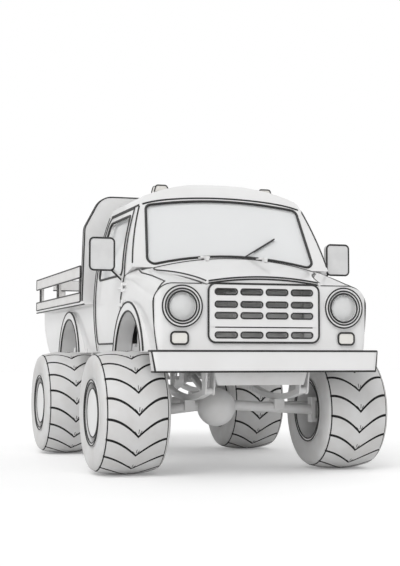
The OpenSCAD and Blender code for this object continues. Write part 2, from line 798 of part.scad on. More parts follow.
// Front body
fender_slope = 13.5;
fender_top_z = 1700;
shoulder_r = 160;
nose_corner_r = 70;
nose_t = 40;
front_arch_y = front_y - 30;
rear_arch_y = rear_y;
flare_in = half_w - 110;
module front_solid(inset) {
  intersection() {
    along_y(nose_y + inset, front_y + 600) bowed_sides(inset, -inset);
    translate([0, front_y, fender_top_z]) rotate([fender_slope, 0, 0]) along_y(-1200, 900) rounded_polygon([
      [[-half_w + inset, -1200], 0], [[half_w - inset, -1200], 0],
      [[half_w - inset, -inset], shoulder_r - inset], [[-half_w + inset, -inset], shoulder_r - inset]]);
    along_z(0, far) rounded_polygon([
      [[-half_w + inset, nose_y + inset], nose_corner_r - inset],
      [[half_w - inset, nose_y + inset], nose_corner_r - inset],
      [[half_w - inset, front_y + 700], 0], [[-half_w + inset, front_y + 700], 0]]);
  }
}
// Hood edge in plan: an arc through the nose, the middle and the rear corner
hood_nose_half = 480;
hood_mid = [560, front_y - 420];
hood_rear_half = 800;
hood_limit = 715;
hood_gap = 12;
module hood_plan(gap, rear) {
  p = [hood_nose_half, nose_y];
  c = circle_middle(p, hood_mid, [hood_rear_half, front_y]);
  difference() {
    translate([-hood_limit - gap, nose_y - 40]) square([2 * (hood_limit + gap), rear - nose_y + 40]);
    for (s = [-1, 1]) translate([s * c[0], c[1]]) circle(norm(c - p) - gap, $fn = arc_fn);
  }
}
module flare(y) {
  intersection() {
    along_x(flare_in, flare_x) difference() {
      arch_circle(y, flare_r);
      arch_circle(y, arch_r);
    }
    above(body_z);
  }
}
module fender(side) {
  color(PAINT) on_side(side) {
    difference() {
      intersection() {
        front_solid(0);
        along_x(0, far) polygon([
          [nose_y + nose_t, 0], [front_y + door_front - panel_gap, 0],
          [front_y + door_front - panel_gap, belt_z - 190],
          [front_y + door_hinge_y + 18 - panel_gap, belt_z - 4],
          [front_y, cab_region_low - panel_gap], [front_y, far], [nose_y + nose_t, far]]);
      }
      front_solid(skin_t);
      along_z(0, far) {
        hood_plan(hood_gap, hood_rear + 1);
        translate([-hood_rear_half - panel_gap, hood_rear]) square([2 * (hood_rear_half + panel_gap), 300]);
      }
      along_x(0, far) arch_circle(front_arch_y, arch_r);
    }
    flare(front_arch_y);
    for (z = door_hinge_z) translate([hinge_x, front_y + door_hinge_y, z]) {
      hinge_lugs();
      for (k = [-1, 1]) block([half_w - 20 - hinge_x, -50, k * (hinge_l + fit_gap) - hinge_l / 2],
                              [0, 0, k * (hinge_l + fit_gap) + hinge_l / 2]);
    }
  }
}
module fender_right() { fender(-1); }
module fender_left() { fender(1); }

marker = [138, 94, 30];
marker_x = 702;
marker_z = 1104;
nose_low = bumper_z + bumper_h + 5;
module nose_panel() {
  color(PAINT) difference() {
    union() {
      intersection() {
        front_solid(0);
        along_y(nose_y, nose_y + nose_t) translate([-far, nose_low]) square([2 * far, far]);
      }
      intersection() {
        along_y(nose_y, nose_y + nose_t) intersection() {
          translate([0, hood_z - hood_r]) circle(hood_r - skin_t - panel_gap, $fn = arc_fn);
          translate([-hood_nose_half + 12, lamp_z]) square([2 * hood_nose_half - 24, 400]);
        }
      }
    }
    along_y(nose_y - 1, nose_y + nose_t + 1) {
      for (s = [-1, 1]) translate([s * lamp_x, lamp_z]) circle(lamp_r - 22);
      translate([0, grille_z + grille_h / 2]) rounded_box(grille_w - 28, grille_h - 28, 46);
    }
  }
}
grille_t = 34;
grille_lip = 12;
// Slot rows: share of the grille's height at their middles
slot_rows = [0.862, 0.648, 0.458, 0.127];
slot_gap = 30;
slot_pitch = slot_l + slot_gap;
groove = [0.258, 10, 6];
module slot_shape() {
  rounded_box(slot_l, slot_h, slot_h / 2 - 0.5);
}
module grille() {
  color(PAINT) translate([0, 0, grille_z]) difference() {
    union() {
      along_y(nose_y - grille_lip, nose_y) translate([0, grille_h / 2]) rounded_box(grille_w, grille_h, 60);
      along_y(nose_y - 1, nose_y + grille_t - grille_lip) translate([0, grille_h / 2])
        rounded_box(grille_w - 28 - 2 * fit_gap, grille_h - 28 - 2 * fit_gap, 46);
    }
    along_y(nose_y - grille_lip - 1, nose_y + grille_t)
      for (share = slot_rows, i = [0 : slot_cols - 1])
        translate([(i - (slot_cols - 1) / 2) * slot_pitch, share * grille_h]) slot_shape();
    block([-grille_w / 2 + 20, nose_y - grille_lip - 1, groove[0] * grille_h - groove[1] / 2],
          [grille_w / 2 - 20, nose_y - grille_lip + groove[2], groove[0] * grille_h + groove[1] / 2]);
  }
}
module facing_front(x, z) { translate([x, nose_y, z]) rotate([90, 0, 0]) children(); }
lens_r = 112;
module headlamps() {
  color(PAINT) for (s = [-1, 1]) facing_front(s * lamp_x, lamp_z) rotate_extrude() difference() {
    union() {
      square([lamp_r, 14]);
      translate([0, -nose_t - 30]) square([lamp_r - 22 - fit_gap, nose_t + 31]);
      translate([lamp_r - 14, 12.3]) circle(12);
      translate([lens_r + 18, 14]) circle(10);
    }
    translate([0, -30]) square([lens_r, 60]);
    translate([-far, -far]) square([far, 2 * far]);
  }
}
module lamp_lenses() {
  lens_dome = 190;
  color(GLASS) for (s = [-1, 1]) facing_front(s * lamp_x, lamp_z) rotate_extrude() intersection() {
    translate([0, -8]) square([lens_r - fit_gap, 60]);
    translate([0, 30 - lens_dome]) circle(lens_dome);
  }
}
tail_lamp = [44, 130, 14];
tail_lamp_z = body_z + 340;
module marker_lamps() {
  color(LAMP) {
    along_y(nose_y - 16, nose_y) for (s = [-1, 1]) translate([s * marker_x, marker_z])
      rounded_box(marker[0], marker[1], marker[2]);
    along_y(rear_end - 20, rear_end) for (s = [-1, 1]) translate([s * (half_w - 45), tail_lamp_z])
      rounded_box(tail_lamp[0], tail_lamp[1], tail_lamp[2]);
  }
}
roof_lamp = [130, 90, 52];
roof_lamp_x = 490;
roof_lamp_y = front_y + 545;
function roof_top(x) = roof_z - roof_r + sqrt(roof_r * roof_r - x * x);
module roof_lamps() {
  half = roof_lamp[0] / 2;
  top = roof_top(roof_lamp_x) + roof_lamp[2];
  color(LAMP) along_y(roof_lamp_y - roof_lamp[1] / 2, roof_lamp_y + roof_lamp[1] / 2)
    for (s = [-1, 1]) smooth_polygon(concat(
      [for (k = [-2 : 2]) let (x = s * roof_lamp_x + k * half / 2) [[x, roof_top(x) + fit_gap], 0]],
      [[[s * roof_lamp_x + half - 18, top], 24], [[s * roof_lamp_x - half + 18, top], 24]]));
}
module hood() {
  color(PAINT) {
    intersection() {
      translate([0, nose_y, hood_z]) rotate([hood_slope, 0, 0]) along_y(-200, 1200) crown_slab(0, skin_t);
      along_z(0, far) intersection() {
        hood_plan(0, hood_rear);
        rounded_polygon([
          [[-hood_nose_half - 3, nose_y], 20], [[hood_nose_half + 3, nose_y], 20],
          [[far, hood_rear], 0], [[-far, hood_rear], 0]]);
      }
    }
    at_hood_hinges() hinge_barrel();
    for (s = [-1, 1]) translate([s * hood_hinge_x, 0, 0]) difference() {
      block([-hinge_l / 2, hood_rear - 70, cowl_z - 26], [hinge_l / 2, hood_axis[1], hood_axis[2] + 6]);
      block([-hinge_l, hood_rear - 2, 0], [hinge_l, far, hood_axis[2] - 6]);
      translate([0, hood_axis[1], hood_axis[2]]) rotate([0, 90, 0])
        cylinder(r = hinge_pin_r + 2, h = far, center = true);
    }
  }
}
wiper_0 = [112, 92];
wiper_1 = [434, 297];
blade_from = 0.35;
module wiper_strip(p0, p1, half) {
  d = unit(p1 - p0);
  n = [-d[1], d[0]] * half;
  polygon([p0 - n, p1 - n, p1 + n, p0 + n]);
}
module wiper() {
  blade_0 = wiper_0 + (wiper_1 - wiper_0) * blade_from;
  color(TRIM) on_screen() {
    translate([wiper_0[0], wiper_0[1], fit_gap]) cylinder(r = 14, h = 12);
    translate([0, 0, 3]) linear_extrude(8) wiper_strip(wiper_0, wiper_1, 5);
    translate([0, 0, glass_t - glass_depth + fit_gap])
      linear_extrude(glass_depth) wiper_strip(blade_0, wiper_1, 3);
  }
}

// Bed
gate_y1 = rear_end - 24;
gate_t = 44;
gate_y0 = gate_y1 - gate_t;
gate_half = 810;
gate_z0 = bed_floor_z + 24;
wall_rear = rear_end - 20;
wall_front = back_y + panel_gap;
guard_y = front_y + bed_front;
bed_floor_t = 40;
house_x = 600;
house_t = 20;
module cab_guard() {
  color(PAINT) along_y(guard_y, guard_y + guard_t) rounded_polygon([
    [[-gate_half + 20, bed_floor_z], 0], [[gate_half - 20, bed_floor_z], 0],
    [[gate_half - 20, bed_rail_z + fit_gap], 0], [[bed_half - 6, bed_rail_z + fit_gap], 0],
    [[bed_half - 30, 2180], 120], [[bed_half - 190, guard_z], 170], [[-bed_half + 190, guard_z], 170],
    [[-bed_half + 30, 2180], 120], [[-bed_half + 6, bed_rail_z + fit_gap], 0],
    [[-gate_half + 20, bed_rail_z + fit_gap], 0]]);
}
gate_axis = [0, gate_y1 + 8, bed_floor_z + 6];
gate_hinge_x = 520;
sill_count = 6;
module at_gate_hinges() {
  for (s = [-1, 1]) translate([s * gate_hinge_x, gate_axis[1], gate_axis[2]]) rotate([0, 90, 0]) children();
}
module bed_floor() {
  low = bed_floor_z - bed_floor_t;
  color(PAINT) {
    difference() {
      intersection() {
        along_y(guard_y, gate_y0 - panel_gap) bowed_sides(door_t + fit_gap, 0);
        along_z(low, bed_floor_z) square(2 * far, center = true);
      }
      both_sides() along_x(house_x, far) arch_circle(rear_arch_y, arch_r + 1);
      both_sides() along_x(flare_in - fit_gap, far) arch_circle(rear_arch_y, flare_r + fit_gap);
    }
    intersection() {
      both_sides() along_x(house_x, flare_in - fit_gap) difference() {
        arch_circle(rear_arch_y, arch_r + house_t);
        arch_circle(rear_arch_y, arch_r);
      }
      above(low);
    }
    intersection() {
      both_sides() along_x(house_x - house_t, house_x + 1) arch_circle(rear_arch_y, arch_r + house_t);
      above(low);
    }
    for (i = [0 : sill_count - 1]) {
      y = guard_y + 60 + i * (gate_y0 - guard_y - 130) / (sill_count - 1);
      block([-house_x + house_t + 5, y - 35, rail_top], [house_x - house_t - 5, y + 35, low + 1]);
    }
    at_gate_hinges() hinge_lugs();
    for (s = [-1, 1], k = [-1, 1])
      block([s * gate_hinge_x + k * (hinge_l + fit_gap) - hinge_l / 2, gate_y0 - panel_gap - 60, low],
            [s * gate_hinge_x + k * (hinge_l + fit_gap) + hinge_l / 2, gate_axis[1], gate_axis[2] - 2]);
  }
}
module bed_wall(side) {
  top = bed_rail_z - 30;
  color(PAINT) on_side(side) {
    difference() {
      intersection() {
        along_y(wall_front, wall_rear) difference() {
          bowed_sides(0, 0);
          bowed_sides(door_t, -1);
        }
        along_x(0, far) smooth_polygon([
          [[wall_front, body_z], 0], [[wall_rear - 120, body_z], 120],
          [[wall_rear, body_z + 250], 100], [[wall_rear, top], 0],
          [[wall_front, top], 0]]);
      }
      along_x(0, far) arch_circle(rear_arch_y, arch_r);
    }
    flare(rear_arch_y);
    block([half_w - door_t, wall_front, top], [bed_half, wall_rear, bed_rail_z]);
  }
}
module bed_wall_right() { bed_wall(-1); }
module bed_wall_left() { bed_wall(1); }
// Boards: [underside, top]
boards = [[bed_rail_z + fit_gap, bed_rail_z + 86], [board_top_z - 110, board_top_z]];
board_y = [guard_y + guard_t + 2, rear_end - 15];
stake_y = [for (share = [0.061, 0.542, 0.972]) board_y[0] + share * (board_y[1] - board_y[0])];
stake = [36, 46];
module stake_side(side) {
  color(WOOD) on_side(side) {
    for (b = boards) block([bed_half - board_t, board_y[0], b[0]], [bed_half, board_y[1], b[1]]);
    for (y = stake_y) block([bed_half - board_t - stake[0], y - stake[1] / 2, boards[0][0]],
                            [bed_half - board_t, y + stake[1] / 2, board_top_z]);
  }
}
module stake_side_right() { stake_side(-1); }
module stake_side_left() { stake_side(1); }
gate_stake_x = [-700, 0, 700];
gate_stake_half = 30;
module tailgate() {
  color(WOOD) {
    block([-gate_half, gate_y0, gate_z0], [gate_half, gate_y1, boards[0][0] + 5]);
    for (b = boards) block([-gate_half, gate_y0, b[0] + 4], [gate_half, gate_y0 + board_t - 6, b[1]]);
    for (x = gate_stake_x) block([x - gate_stake_half, gate_y0 + board_t - 6, bed_rail_z - 120],
                                 [x + gate_stake_half, gate_y1, board_top_z]);
    at_gate_hinges() hinge_barrel();
    for (s = [-1, 1]) translate([s * gate_hinge_x, 0, 0]) difference() {
      block([-hinge_l / 2, gate_y1 - 4, gate_axis[2]], [hinge_l / 2, gate_axis[1] + 3, gate_axis[2] + 80]);
      translate([0, gate_axis[1], gate_axis[2]]) rotate([0, 90, 0])
        cylinder(r = hinge_pin_r + 2, h = far, center = true);
    }
  }
}

// Steering
arm_z = axle_z + 20;
arm_t = 20;
arm_end_r = 24;
module knuckle(side) {
  color(CHASSIS) on_side(side) translate([0, front_y, axle_z]) {
    translate([kingpin_x, 0, 0]) {
      cylinder(r = 36, h = 2 * (yoke_h - fit_gap), center = true);
      cylinder(r = kingpin_r, h = 2 * (yoke_h + yoke_t), center = true);
      translate([0, 0, arm_z - axle_z]) {
        translate([0, steer_arm, 0]) cylinder(r = arm_end_r, h = arm_t);
        translate([-18, 0, 0]) cube([36, steer_arm, arm_t]);
      }
    }
    translate([kingpin_x, 0, 0]) rotate([0, 90, 0]) cylinder(r = spindle_r, h = spindle_end - kingpin_x);
    translate([hub_in - 55, 0, 0]) rotate([0, 90, 0]) cylinder(r = 150, h = 45);
  }
}
module knuckle_right() { knuckle(-1); }
module knuckle_left() { knuckle(1); }
rod_r = 12;
module tie_rod() {
  z = arm_z + arm_t + fit_gap;
  color(STEEL) translate([0, front_y + steer_arm, z]) {
    for (s = [-1, 1]) translate([s * kingpin_x, 0, 0]) cylinder(r = 20, h = 2 * rod_r + 8);
    translate([0, 0, rod_r + 4]) rotate([0, 90, 0]) cylinder(r = rod_r, h = 2 * kingpin_x, center = true);
  }
}

// Wheels
rim_half = tyre_w / 2 - 18;
rim_t = 22;
rim_lip = 12;
hub_r = 88;
// Raised wheel centre: a cap on a ring wall, and the web that carries it in the rim
cap_r = 198;
cap_t = 18;
cap_out = rim_half - 3;
web_out = 176;
web_t = 20;
// Tyre section, one half: [share of the half width, radius] from the middle of the tread to the bead
tyre_rows = [
  [0.44, tyre_r], [0.68, tyre_r - 7], [0.86, tyre_r - 29], [0.95, tyre_r - 56], [1, tyre_r - 100],
  [0.99, rim_r + 62], [0.95, rim_r + 26], [0.895, rim_r + fit_gap]];
module tyre_section() {
  n = len(tyre_rows);
  polygon(concat(
    [for (row = tyre_rows) [row[1], row[0] * tyre_w / 2]],
    [for (i = [n - 1 : -1 : 0]) [tyre_rows[i][1], -tyre_rows[i][0] * tyre_w / 2]]));
}
module rim_section() {
  hub_back = hub_in - wheel_x;
  hub_out = spindle_end - wheel_x;
  difference() {
    union() {
      translate([rim_r - rim_t, -rim_half]) square([rim_t, 2 * rim_half]);
      for (s = [-1, 1]) translate([rim_r - rim_t, s * rim_half - rim_lip / 2]) square([rim_t + 9, rim_lip]);
      translate([0, cap_out - cap_t]) square([cap_r, cap_t]);
      translate([cap_r - cap_t, web_out - web_t]) square([cap_t, cap_out - web_out + web_t]);
      translate([cap_r - cap_t, web_out - web_t]) square([rim_r - rim_t / 2 - cap_r + cap_t, web_t]);
      translate([0, hub_back]) square([hub_r, cap_out - cap_t / 2 - hub_back]);
    }
    translate([-1, hub_back - 1]) square([hub_bore_r + 1, hub_out + 3 - hub_back]);
  }
}
module at_wheel(side, y) { on_side(side) translate([wheel_x, y, axle_z]) rotate([0, 90, 0]) children(); }
// Tread lugs: chevron grooves between them, two straight arms each, pointing down at the front
lug_count = 18;
groove_w = 20;
groove_d = 19;
groove_sweep = 16;
tread_half = tyre_w / 2 - 41;
module tread_groove(s) {
  arm = [tread_half, tyre_r * groove_sweep * PI / 180];
  rotate([0, 0, -groove_sweep / 2]) translate([tyre_r, 0, s * tread_half / 2]) rotate([s * atan2(arm[1], arm[0]), 0, 0])
    cube([2 * groove_d, groove_w, norm(arm) + 2 * groove_w], center = true);
}
module tyre(side, y) {
  color(RUBBER) at_wheel(side, y) difference() {
    rotate_extrude() tyre_section();
    for (i = [0 : lug_count - 1], s = [-1, 1]) rotate([0, 0, (i + 0.5) * 360 / lug_count]) tread_groove(s);
  }
}
module rim(side, y) { color(PAINT) at_wheel(side, y) rotate_extrude() rim_section(); }
module tyre_front_right() { tyre(-1, front_y); }
module tyre_front_left() { tyre(1, front_y); }
module tyre_rear_right() { tyre(-1, rear_y); }
module tyre_rear_left() { tyre(1, rear_y); }
module rim_front_right() { rim(-1, front_y); }
module rim_front_left() { rim(1, front_y); }
module rim_rear_right() { rim(-1, rear_y); }
module rim_rear_left() { rim(1, rear_y); }

frame();
engine_block();
front_axle();
rear_axle();
propshafts();
leaf_springs();
front_bumper();
fuel_tank();
cab_floor();
cab_front();
cab_roof();
cab_back();
cab_glass();
dashboard();
steering_wheel();
bench_seat();
door_right();
door_left();
door_glass_right();
door_glass_left();
mirror_right();
mirror_left();
fender_right();
fender_left();
nose_panel();
grille();
headlamps();
lamp_lenses();
marker_lamps();
roof_lamps();
hood();
wiper();
cab_guard();
bed_floor();
bed_wall_right();
bed_wall_left();
stake_side_right();
stake_side_left();
tailgate();
knuckle_right();
knuckle_left();
tie_rod();
tyre_front_right();
tyre_front_left();
tyre_rear_right();
tyre_rear_left();
rim_front_right();
rim_front_left();
rim_rear_right();
rim_rear_left();
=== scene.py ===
"""High-riding pickup truck: finishes, tyres, seals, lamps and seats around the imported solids. Metres."""
import math

import bpy
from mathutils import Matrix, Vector


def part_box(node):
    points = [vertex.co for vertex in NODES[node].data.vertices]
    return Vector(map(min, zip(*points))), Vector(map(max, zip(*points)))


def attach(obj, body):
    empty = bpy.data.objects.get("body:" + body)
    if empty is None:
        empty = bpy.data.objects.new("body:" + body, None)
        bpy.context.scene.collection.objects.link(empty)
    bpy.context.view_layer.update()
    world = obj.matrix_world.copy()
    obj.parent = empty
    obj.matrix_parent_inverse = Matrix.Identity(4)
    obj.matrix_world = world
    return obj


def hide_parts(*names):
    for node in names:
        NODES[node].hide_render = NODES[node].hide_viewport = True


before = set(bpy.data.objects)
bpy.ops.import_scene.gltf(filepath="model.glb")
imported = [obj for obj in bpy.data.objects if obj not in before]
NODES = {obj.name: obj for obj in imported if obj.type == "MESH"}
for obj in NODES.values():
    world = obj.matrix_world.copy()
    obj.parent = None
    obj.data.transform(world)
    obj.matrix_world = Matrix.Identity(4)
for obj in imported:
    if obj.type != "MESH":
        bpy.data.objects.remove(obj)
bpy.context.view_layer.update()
SIDES = {"right": -1, "left": 1}
ENDS = ("front", "rear")


# Places read from the frame
def middle(node):
    low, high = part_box(node)
    return (low + high) / 2


WHEELS = {(end, side): middle(f"tyre_{end}_{side}") for end in ENDS for side in SIDES}
TYRE_LOW, TYRE_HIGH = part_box("tyre_front_left")
TYRE_R = (TYRE_HIGH.y - TYRE_LOW.y) / 2
FRONT_Y, REAR_Y = WHEELS["front", "left"].y, WHEELS["rear", "left"].y
NOSE_LOW, NOSE_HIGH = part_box("nose_panel")
NOSE_Y, NOSE_BACK_Y = NOSE_LOW.y, NOSE_HIGH.y
BODY_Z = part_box("cab_floor")[0].z
BACK_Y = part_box("cab_back")[1].y
ROOF_LOW, ROOF_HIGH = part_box("cab_roof")
GUTTER_Z, ROOF_Z = ROOF_LOW.z, ROOF_HIGH.z
FLARE_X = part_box("fender_left")[1].x

# Curves and slopes repeated from the part
HALF_W, SIDE_R, WAIST_Z = 0.900, 2.400, 1.420
SCREEN_FOOT, SCREEN_RAKE = Vector((0, FRONT_Y, 1.720)), math.radians(27)
ROOF_R = 1.760
HOOD_Z, HOOD_SLOPE, HOOD_R = 1.594, math.radians(15.6), 2.850
FENDER_TOP, FENDER_SLOPE, SHOULDER_R = 1.700, math.radians(13.5), 0.160
ARCH_Z, ARCH_R, FLARE_R = 0.913, 0.420, 0.500
FRONT_ARCH_Y = FRONT_Y - 0.030

# Camera, fitted to the drawing
CAM_POS = (-3.391, -11.099, 0.956)
CAM_YAW, CAM_PITCH = math.radians(17.9), math.radians(3.546)
CAM_LENS, CAM_SENSOR = 76.18, 36.0

# Light: each sun's direction, strength and softness in degrees, then the sky's and the floor's own light
SUNS = {"key": ((0.55, 0.62, -0.80), 1.50, 40),
        "fill": ((0.30, 0.95, 0.12), 0.60, 60),
        "rim": ((-0.70, -0.35, -0.45), 0.35, 60)}
SKY_LIGHT, SKY_SEEN = 0.54, 1.0
FLOOR_SIZE, FLOOR_LIFT = 120, 0.19

# Materials
SLOW_DETAIL, FINE_DETAIL = 5, 3
MOTTLE_SPAN = (0.35, 0.68)
GRAIN_DEPTH = 0.001
GLASS_ROUGH, GLASS_IOR = 0.03, 1.45
FILM_SCALE, FILM_DETAIL, FILM_HAZE = 2.5, 4, 0.06


def new_material(name):
    mat = bpy.data.materials.new(name)
    mat.use_nodes = True
    nodes = mat.node_tree.nodes
    return mat, nodes, mat.node_tree.links, nodes["Principled BSDF"]


def set_inputs(node, values):
    for name, value in values.items():
        node.inputs[name].default_value = value


def noise(nodes, links, coords, scale, detail):
    tex = nodes.new("ShaderNodeTexNoise")
    set_inputs(tex, {"Scale": scale, "Detail": detail})
    links.new(coords.outputs["Object"], tex.inputs["Vector"])
    return tex.outputs["Fac"]


def ramp(nodes, links, source, places, colours):
    """Colour ramp between two shares of a texture."""
    node = nodes.new("ShaderNodeValToRGB")
    for element, place, colour in zip(node.color_ramp.elements, places, colours):
        element.position = place
        element.color = (*colour, 1)
    links.new(source, node.inputs["Fac"])
    return node.outputs["Color"]


def map_range(nodes, links, source, low, high):
    """Number that goes from low to high while the source goes from 0 to 1."""
    node = nodes.new("ShaderNodeMapRange")
    set_inputs(node, {"To Min": low, "To Max": high})
    links.new(source, node.inputs["Value"])
    return node.outputs["Result"]


def surface(name, light, dark, rough, metal=0.0, coat=0.0, mottle=3.0, grain=220.0, bump=0.05):
    """Finish with a slow colour mottle, a roughness change and a fine grain bump."""
    mat, nodes, links, bsdf = new_material(name)
    coords = nodes.new("ShaderNodeTexCoord")
    slow = noise(nodes, links, coords, mottle, SLOW_DETAIL)
    fine = noise(nodes, links, coords, grain, FINE_DETAIL)
    links.new(ramp(nodes, links, slow, MOTTLE_SPAN, (dark, light)), bsdf.inputs["Base Color"])
    links.new(map_range(nodes, links, slow, *rough), bsdf.inputs["Roughness"])
    relief = nodes.new("ShaderNodeBump")
    set_inputs(relief, {"Strength": bump, "Distance": GRAIN_DEPTH})
    links.new(fine, relief.inputs["Height"])
    links.new(relief.outputs["Normal"], bsdf.inputs["Normal"])
    set_inputs(bsdf, {"Metallic": metal, "Coat Weight": coat})
    return mat


def glass_material(name, tint, see_through):
    """Glass with a thin uneven film."""
    mat, nodes, links, bsdf = new_material(name)
    coords = nodes.new("ShaderNodeTexCoord")
    film = noise(nodes, links, coords, FILM_SCALE, FILM_DETAIL)
    haze = map_range(nodes, links, film, GLASS_ROUGH, GLASS_ROUGH + FILM_HAZE)
    links.new(haze, bsdf.inputs["Roughness"])
    set_inputs(bsdf, {"Base Color": (*tint, 1), "Transmission Weight": see_through, "IOR": GLASS_IOR})
    return mat


def grey(v, warm=0.0):
    return (v + warm, v, v - warm)


PAINT = surface("white_paint", grey(0.78), grey(0.74, 0.004), (0.24, 0.36),
                coat=0.35, grain=420, bump=0.03)
CHASSIS = surface("pale_chassis_paint", grey(0.76), grey(0.70, 0.006), (0.42, 0.6),
                  mottle=7, grain=260, bump=0.08)
STEEL = surface("pale_metal", grey(0.74), grey(0.66, 0.004), (0.38, 0.52),
                metal=0.30, mottle=9, grain=300, bump=0.1)
SEAL = surface("black_rubber", grey(0.018), grey(0.010), (0.45, 0.62),
               mottle=20, grain=500, bump=0.1)
TREAD = surface("pale_tyre_rubber", grey(0.68), grey(0.61, 0.008), (0.66, 0.82),
                mottle=6, grain=340, bump=0.25)
# Near-black rubber for the tyres' groove walls and the faces under the tread's edge: painted shade in the
# tyre's recesses
GROOVE_SHADE_RUBBER = surface("groove_painted_shade_rubber", grey(0.022), grey(0.012), (0.7, 0.85),
                 mottle=12, grain=300, bump=0.2)
PLASTIC = surface("pale_plastic", grey(0.70), grey(0.64), (0.4, 0.52),
                  mottle=10, grain=600, bump=0.12)
BOARD = surface("painted_board", grey(0.77, 0.006), grey(0.71, 0.012), (0.5, 0.66),
                mottle=4, grain=120, bump=0.12)
LAMP = surface("pale_lamp_plastic", (0.80, 0.79, 0.75), (0.76, 0.74, 0.70), (0.14, 0.24),
               coat=0.5, grain=500)
CLOTH = surface("seat_cloth", (0.64, 0.62, 0.58), (0.55, 0.53, 0.49), (0.8, 0.92),
                mottle=9, grain=900, bump=0.4)
CHROME = surface("bright_reflector", grey(0.88), grey(0.82), (0.08, 0.16),
                 metal=1.0, mottle=14, grain=200, bump=0.02)
GLASS = glass_material("window_glass", (0.955, 0.965, 0.97), 0.30)
LENS = glass_material("lamp_glass", (0.96, 0.965, 0.965), 0.45)


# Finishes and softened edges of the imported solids
def pairs(*names):
    return [f"{name}_{side}" for name in names for side in SIDES]


NODE_FINISH = {
    PAINT: ["front_bumper", "cab_floor", "cab_front", "cab_roof", "cab_back", "nose_panel", "grille",
            "headlamps", "hood", "cab_guard", "bed_floor",
            *pairs("door", "fender", "bed_wall", "rim_front", "rim_rear")],
    CHASSIS: ["frame", "front_axle", "rear_axle", "leaf_springs", *pairs("knuckle")],
    STEEL: ["engine_block", "propshafts", "fuel_tank", "tie_rod"],
    PLASTIC: ["dashboard", "steering_wheel", *pairs("mirror")],
    SEAL: ["wiper"],
    BOARD: ["tailgate", *pairs("stake_side")],
    LAMP: ["marker_lamps", "roof_lamps"],
    GLASS: ["cab_glass", *pairs("door_glass")],
    LENS: ["lamp_lenses"],
}
BEVELLED = {0.008: ["front_bumper"], 0.006: ["cab_guard", "dashboard"], 0.002: ["frame"],
            0.003: ["tailgate", *pairs("stake_side")]}
BEVEL_SEGMENTS, BEVEL_ANGLE = 2, math.radians(40)
for material, names in NODE_FINISH.items():
    for name in names:
        NODES[name].data.materials.clear()
        NODES[name].data.materials.append(material)
for width, names in BEVELLED.items():
    for name in names:
        edge = NODES[name].modifiers.new("edge", "BEVEL")
        edge.width = width
        edge.segments = BEVEL_SEGMENTS
        edge.limit_method = "ANGLE"
        edge.angle_limit = BEVEL_ANGLE

# Mesh makers
BEAD_SIDES, ARC_STEPS, RING_POINTS = 8, 8, 64
SHORTEST = 1e-5


def piece(name, verts, faces, materials, body, face_materials=None, smooth=True):
    mesh = bpy.data.meshes.new(name)
    mesh.from_pydata([tuple(v) for v in verts], [], faces)
    for material in materials:
        mesh.materials.append(material)
    for i, polygon in enumerate(mesh.polygons):
        polygon.use_smooth = smooth
        if face_materials:
            polygon.material_index = face_materials[i]
    mesh.update()
    obj = bpy.data.objects.new(name, mesh)
    bpy.context.scene.collection.objects.link(obj)
    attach(obj, body)
    return obj


def spaced(start, stop, parts):
    """Even steps from start to stop, with both ends."""
    return [start + (stop - start) * k / parts for k in range(parts + 1)]


def tube_mesh(points, radius, closed):
    """Round bead along points: a closed ring, or open with capped ends."""
    n, sides = len(points), BEAD_SIDES
    points = [Vector(p) for p in points]
    verts, faces = [], []
    normal = None
    for i, p in enumerate(points):
        before = points[i - 1] if closed or i > 0 else p
        after = points[(i + 1) % n] if closed or i < n - 1 else p
        along = (after - before).normalized()
        if normal is None:
            normal = along.orthogonal().normalized()
        normal = (normal - along * normal.dot(along)).normalized()
        across = along.cross(normal)
        for k in range(sides):
            a = math.tau * k / sides
            verts.append(p + (normal * math.cos(a) + across * math.sin(a)) * radius)
    for i in range(n if closed else n - 1):
        j = (i + 1) % n
        for k in range(sides):
            m = (k + 1) % sides
            faces.append((i * sides + k, i * sides + m, j * sides + m, j * sides + k))
    if not closed:
        faces.append(tuple(range(sides - 1, -1, -1)))
        faces.append(tuple(range((n - 1) * sides, n * sides)))
    return verts, faces


def beads(name, runs, radius, body, closed=True):
    """One rubber piece made of several beads."""
    verts, faces = [], []
    for run in runs:
        v, f = tube_mesh(run, radius, closed)
        start = len(verts)
        verts += v
        faces += [tuple(i + start for i in face) for face in f]
    piece(name, verts, faces, [SEAL], body)


def strips(name, runs, radius, body):
    beads(name, runs, radius, body, closed=False)


def rounded(rows):
    """Points of a closed outline: rows of (x, y, corner radius), in order round it."""
    out = []
    n = len(rows)
    for i in range(n):
        p = Vector(rows[i][:2])
        r = rows[i][2]
        a = (Vector(rows[i - 1][:2]) - p).normalized()
        b = (Vector(rows[(i + 1) % n][:2]) - p).normalized()
        if r <= 0:
            out.append(p)
            continue
        half = a.angle(b) / 2
        c = p + (a + b).normalized() * (r / math.sin(half))
        t0, t1 = p + a * (r / math.tan(half)) - c, p + b * (r / math.tan(half)) - c
        a0 = math.atan2(t0.y, t0.x)
        sweep = (math.atan2(t1.y, t1.x) - a0 + math.pi) % math.tau - math.pi
        for q in spaced(a0, a0 + sweep, ARC_STEPS):
            out.append(c + Vector((math.cos(q), math.sin(q))) * r)
    return out


def resample(points, step):
    """Closed outline with points no further apart than step."""
    out = []
    for i, p in enumerate(points):
        q = points[(i + 1) % len(points)]
        parts = max(1, math.ceil((q - p).length / step))
        out += [p.lerp(q, k / parts) for k in range(parts) if (q - p).length > SHORTEST]
    return out


def rect(w, h, r):
    return rounded([(-w / 2, -h / 2, r), (w / 2, -h / 2, r), (w / 2, h / 2, r), (-w / 2, h / 2, r)])


def ring(centre, radius, axis):
    """Circle of points round the X axis ("x") or the Y axis ("y")."""
    out = []
    for k in range(RING_POINTS):
        a = math.tau * k / RING_POINTS
        c, s = radius * math.cos(a), radius * math.sin(a)
        out.append(Vector(centre) + (Vector((0, c, s)) if axis == "x" else Vector((c, 0, s))))
    return out


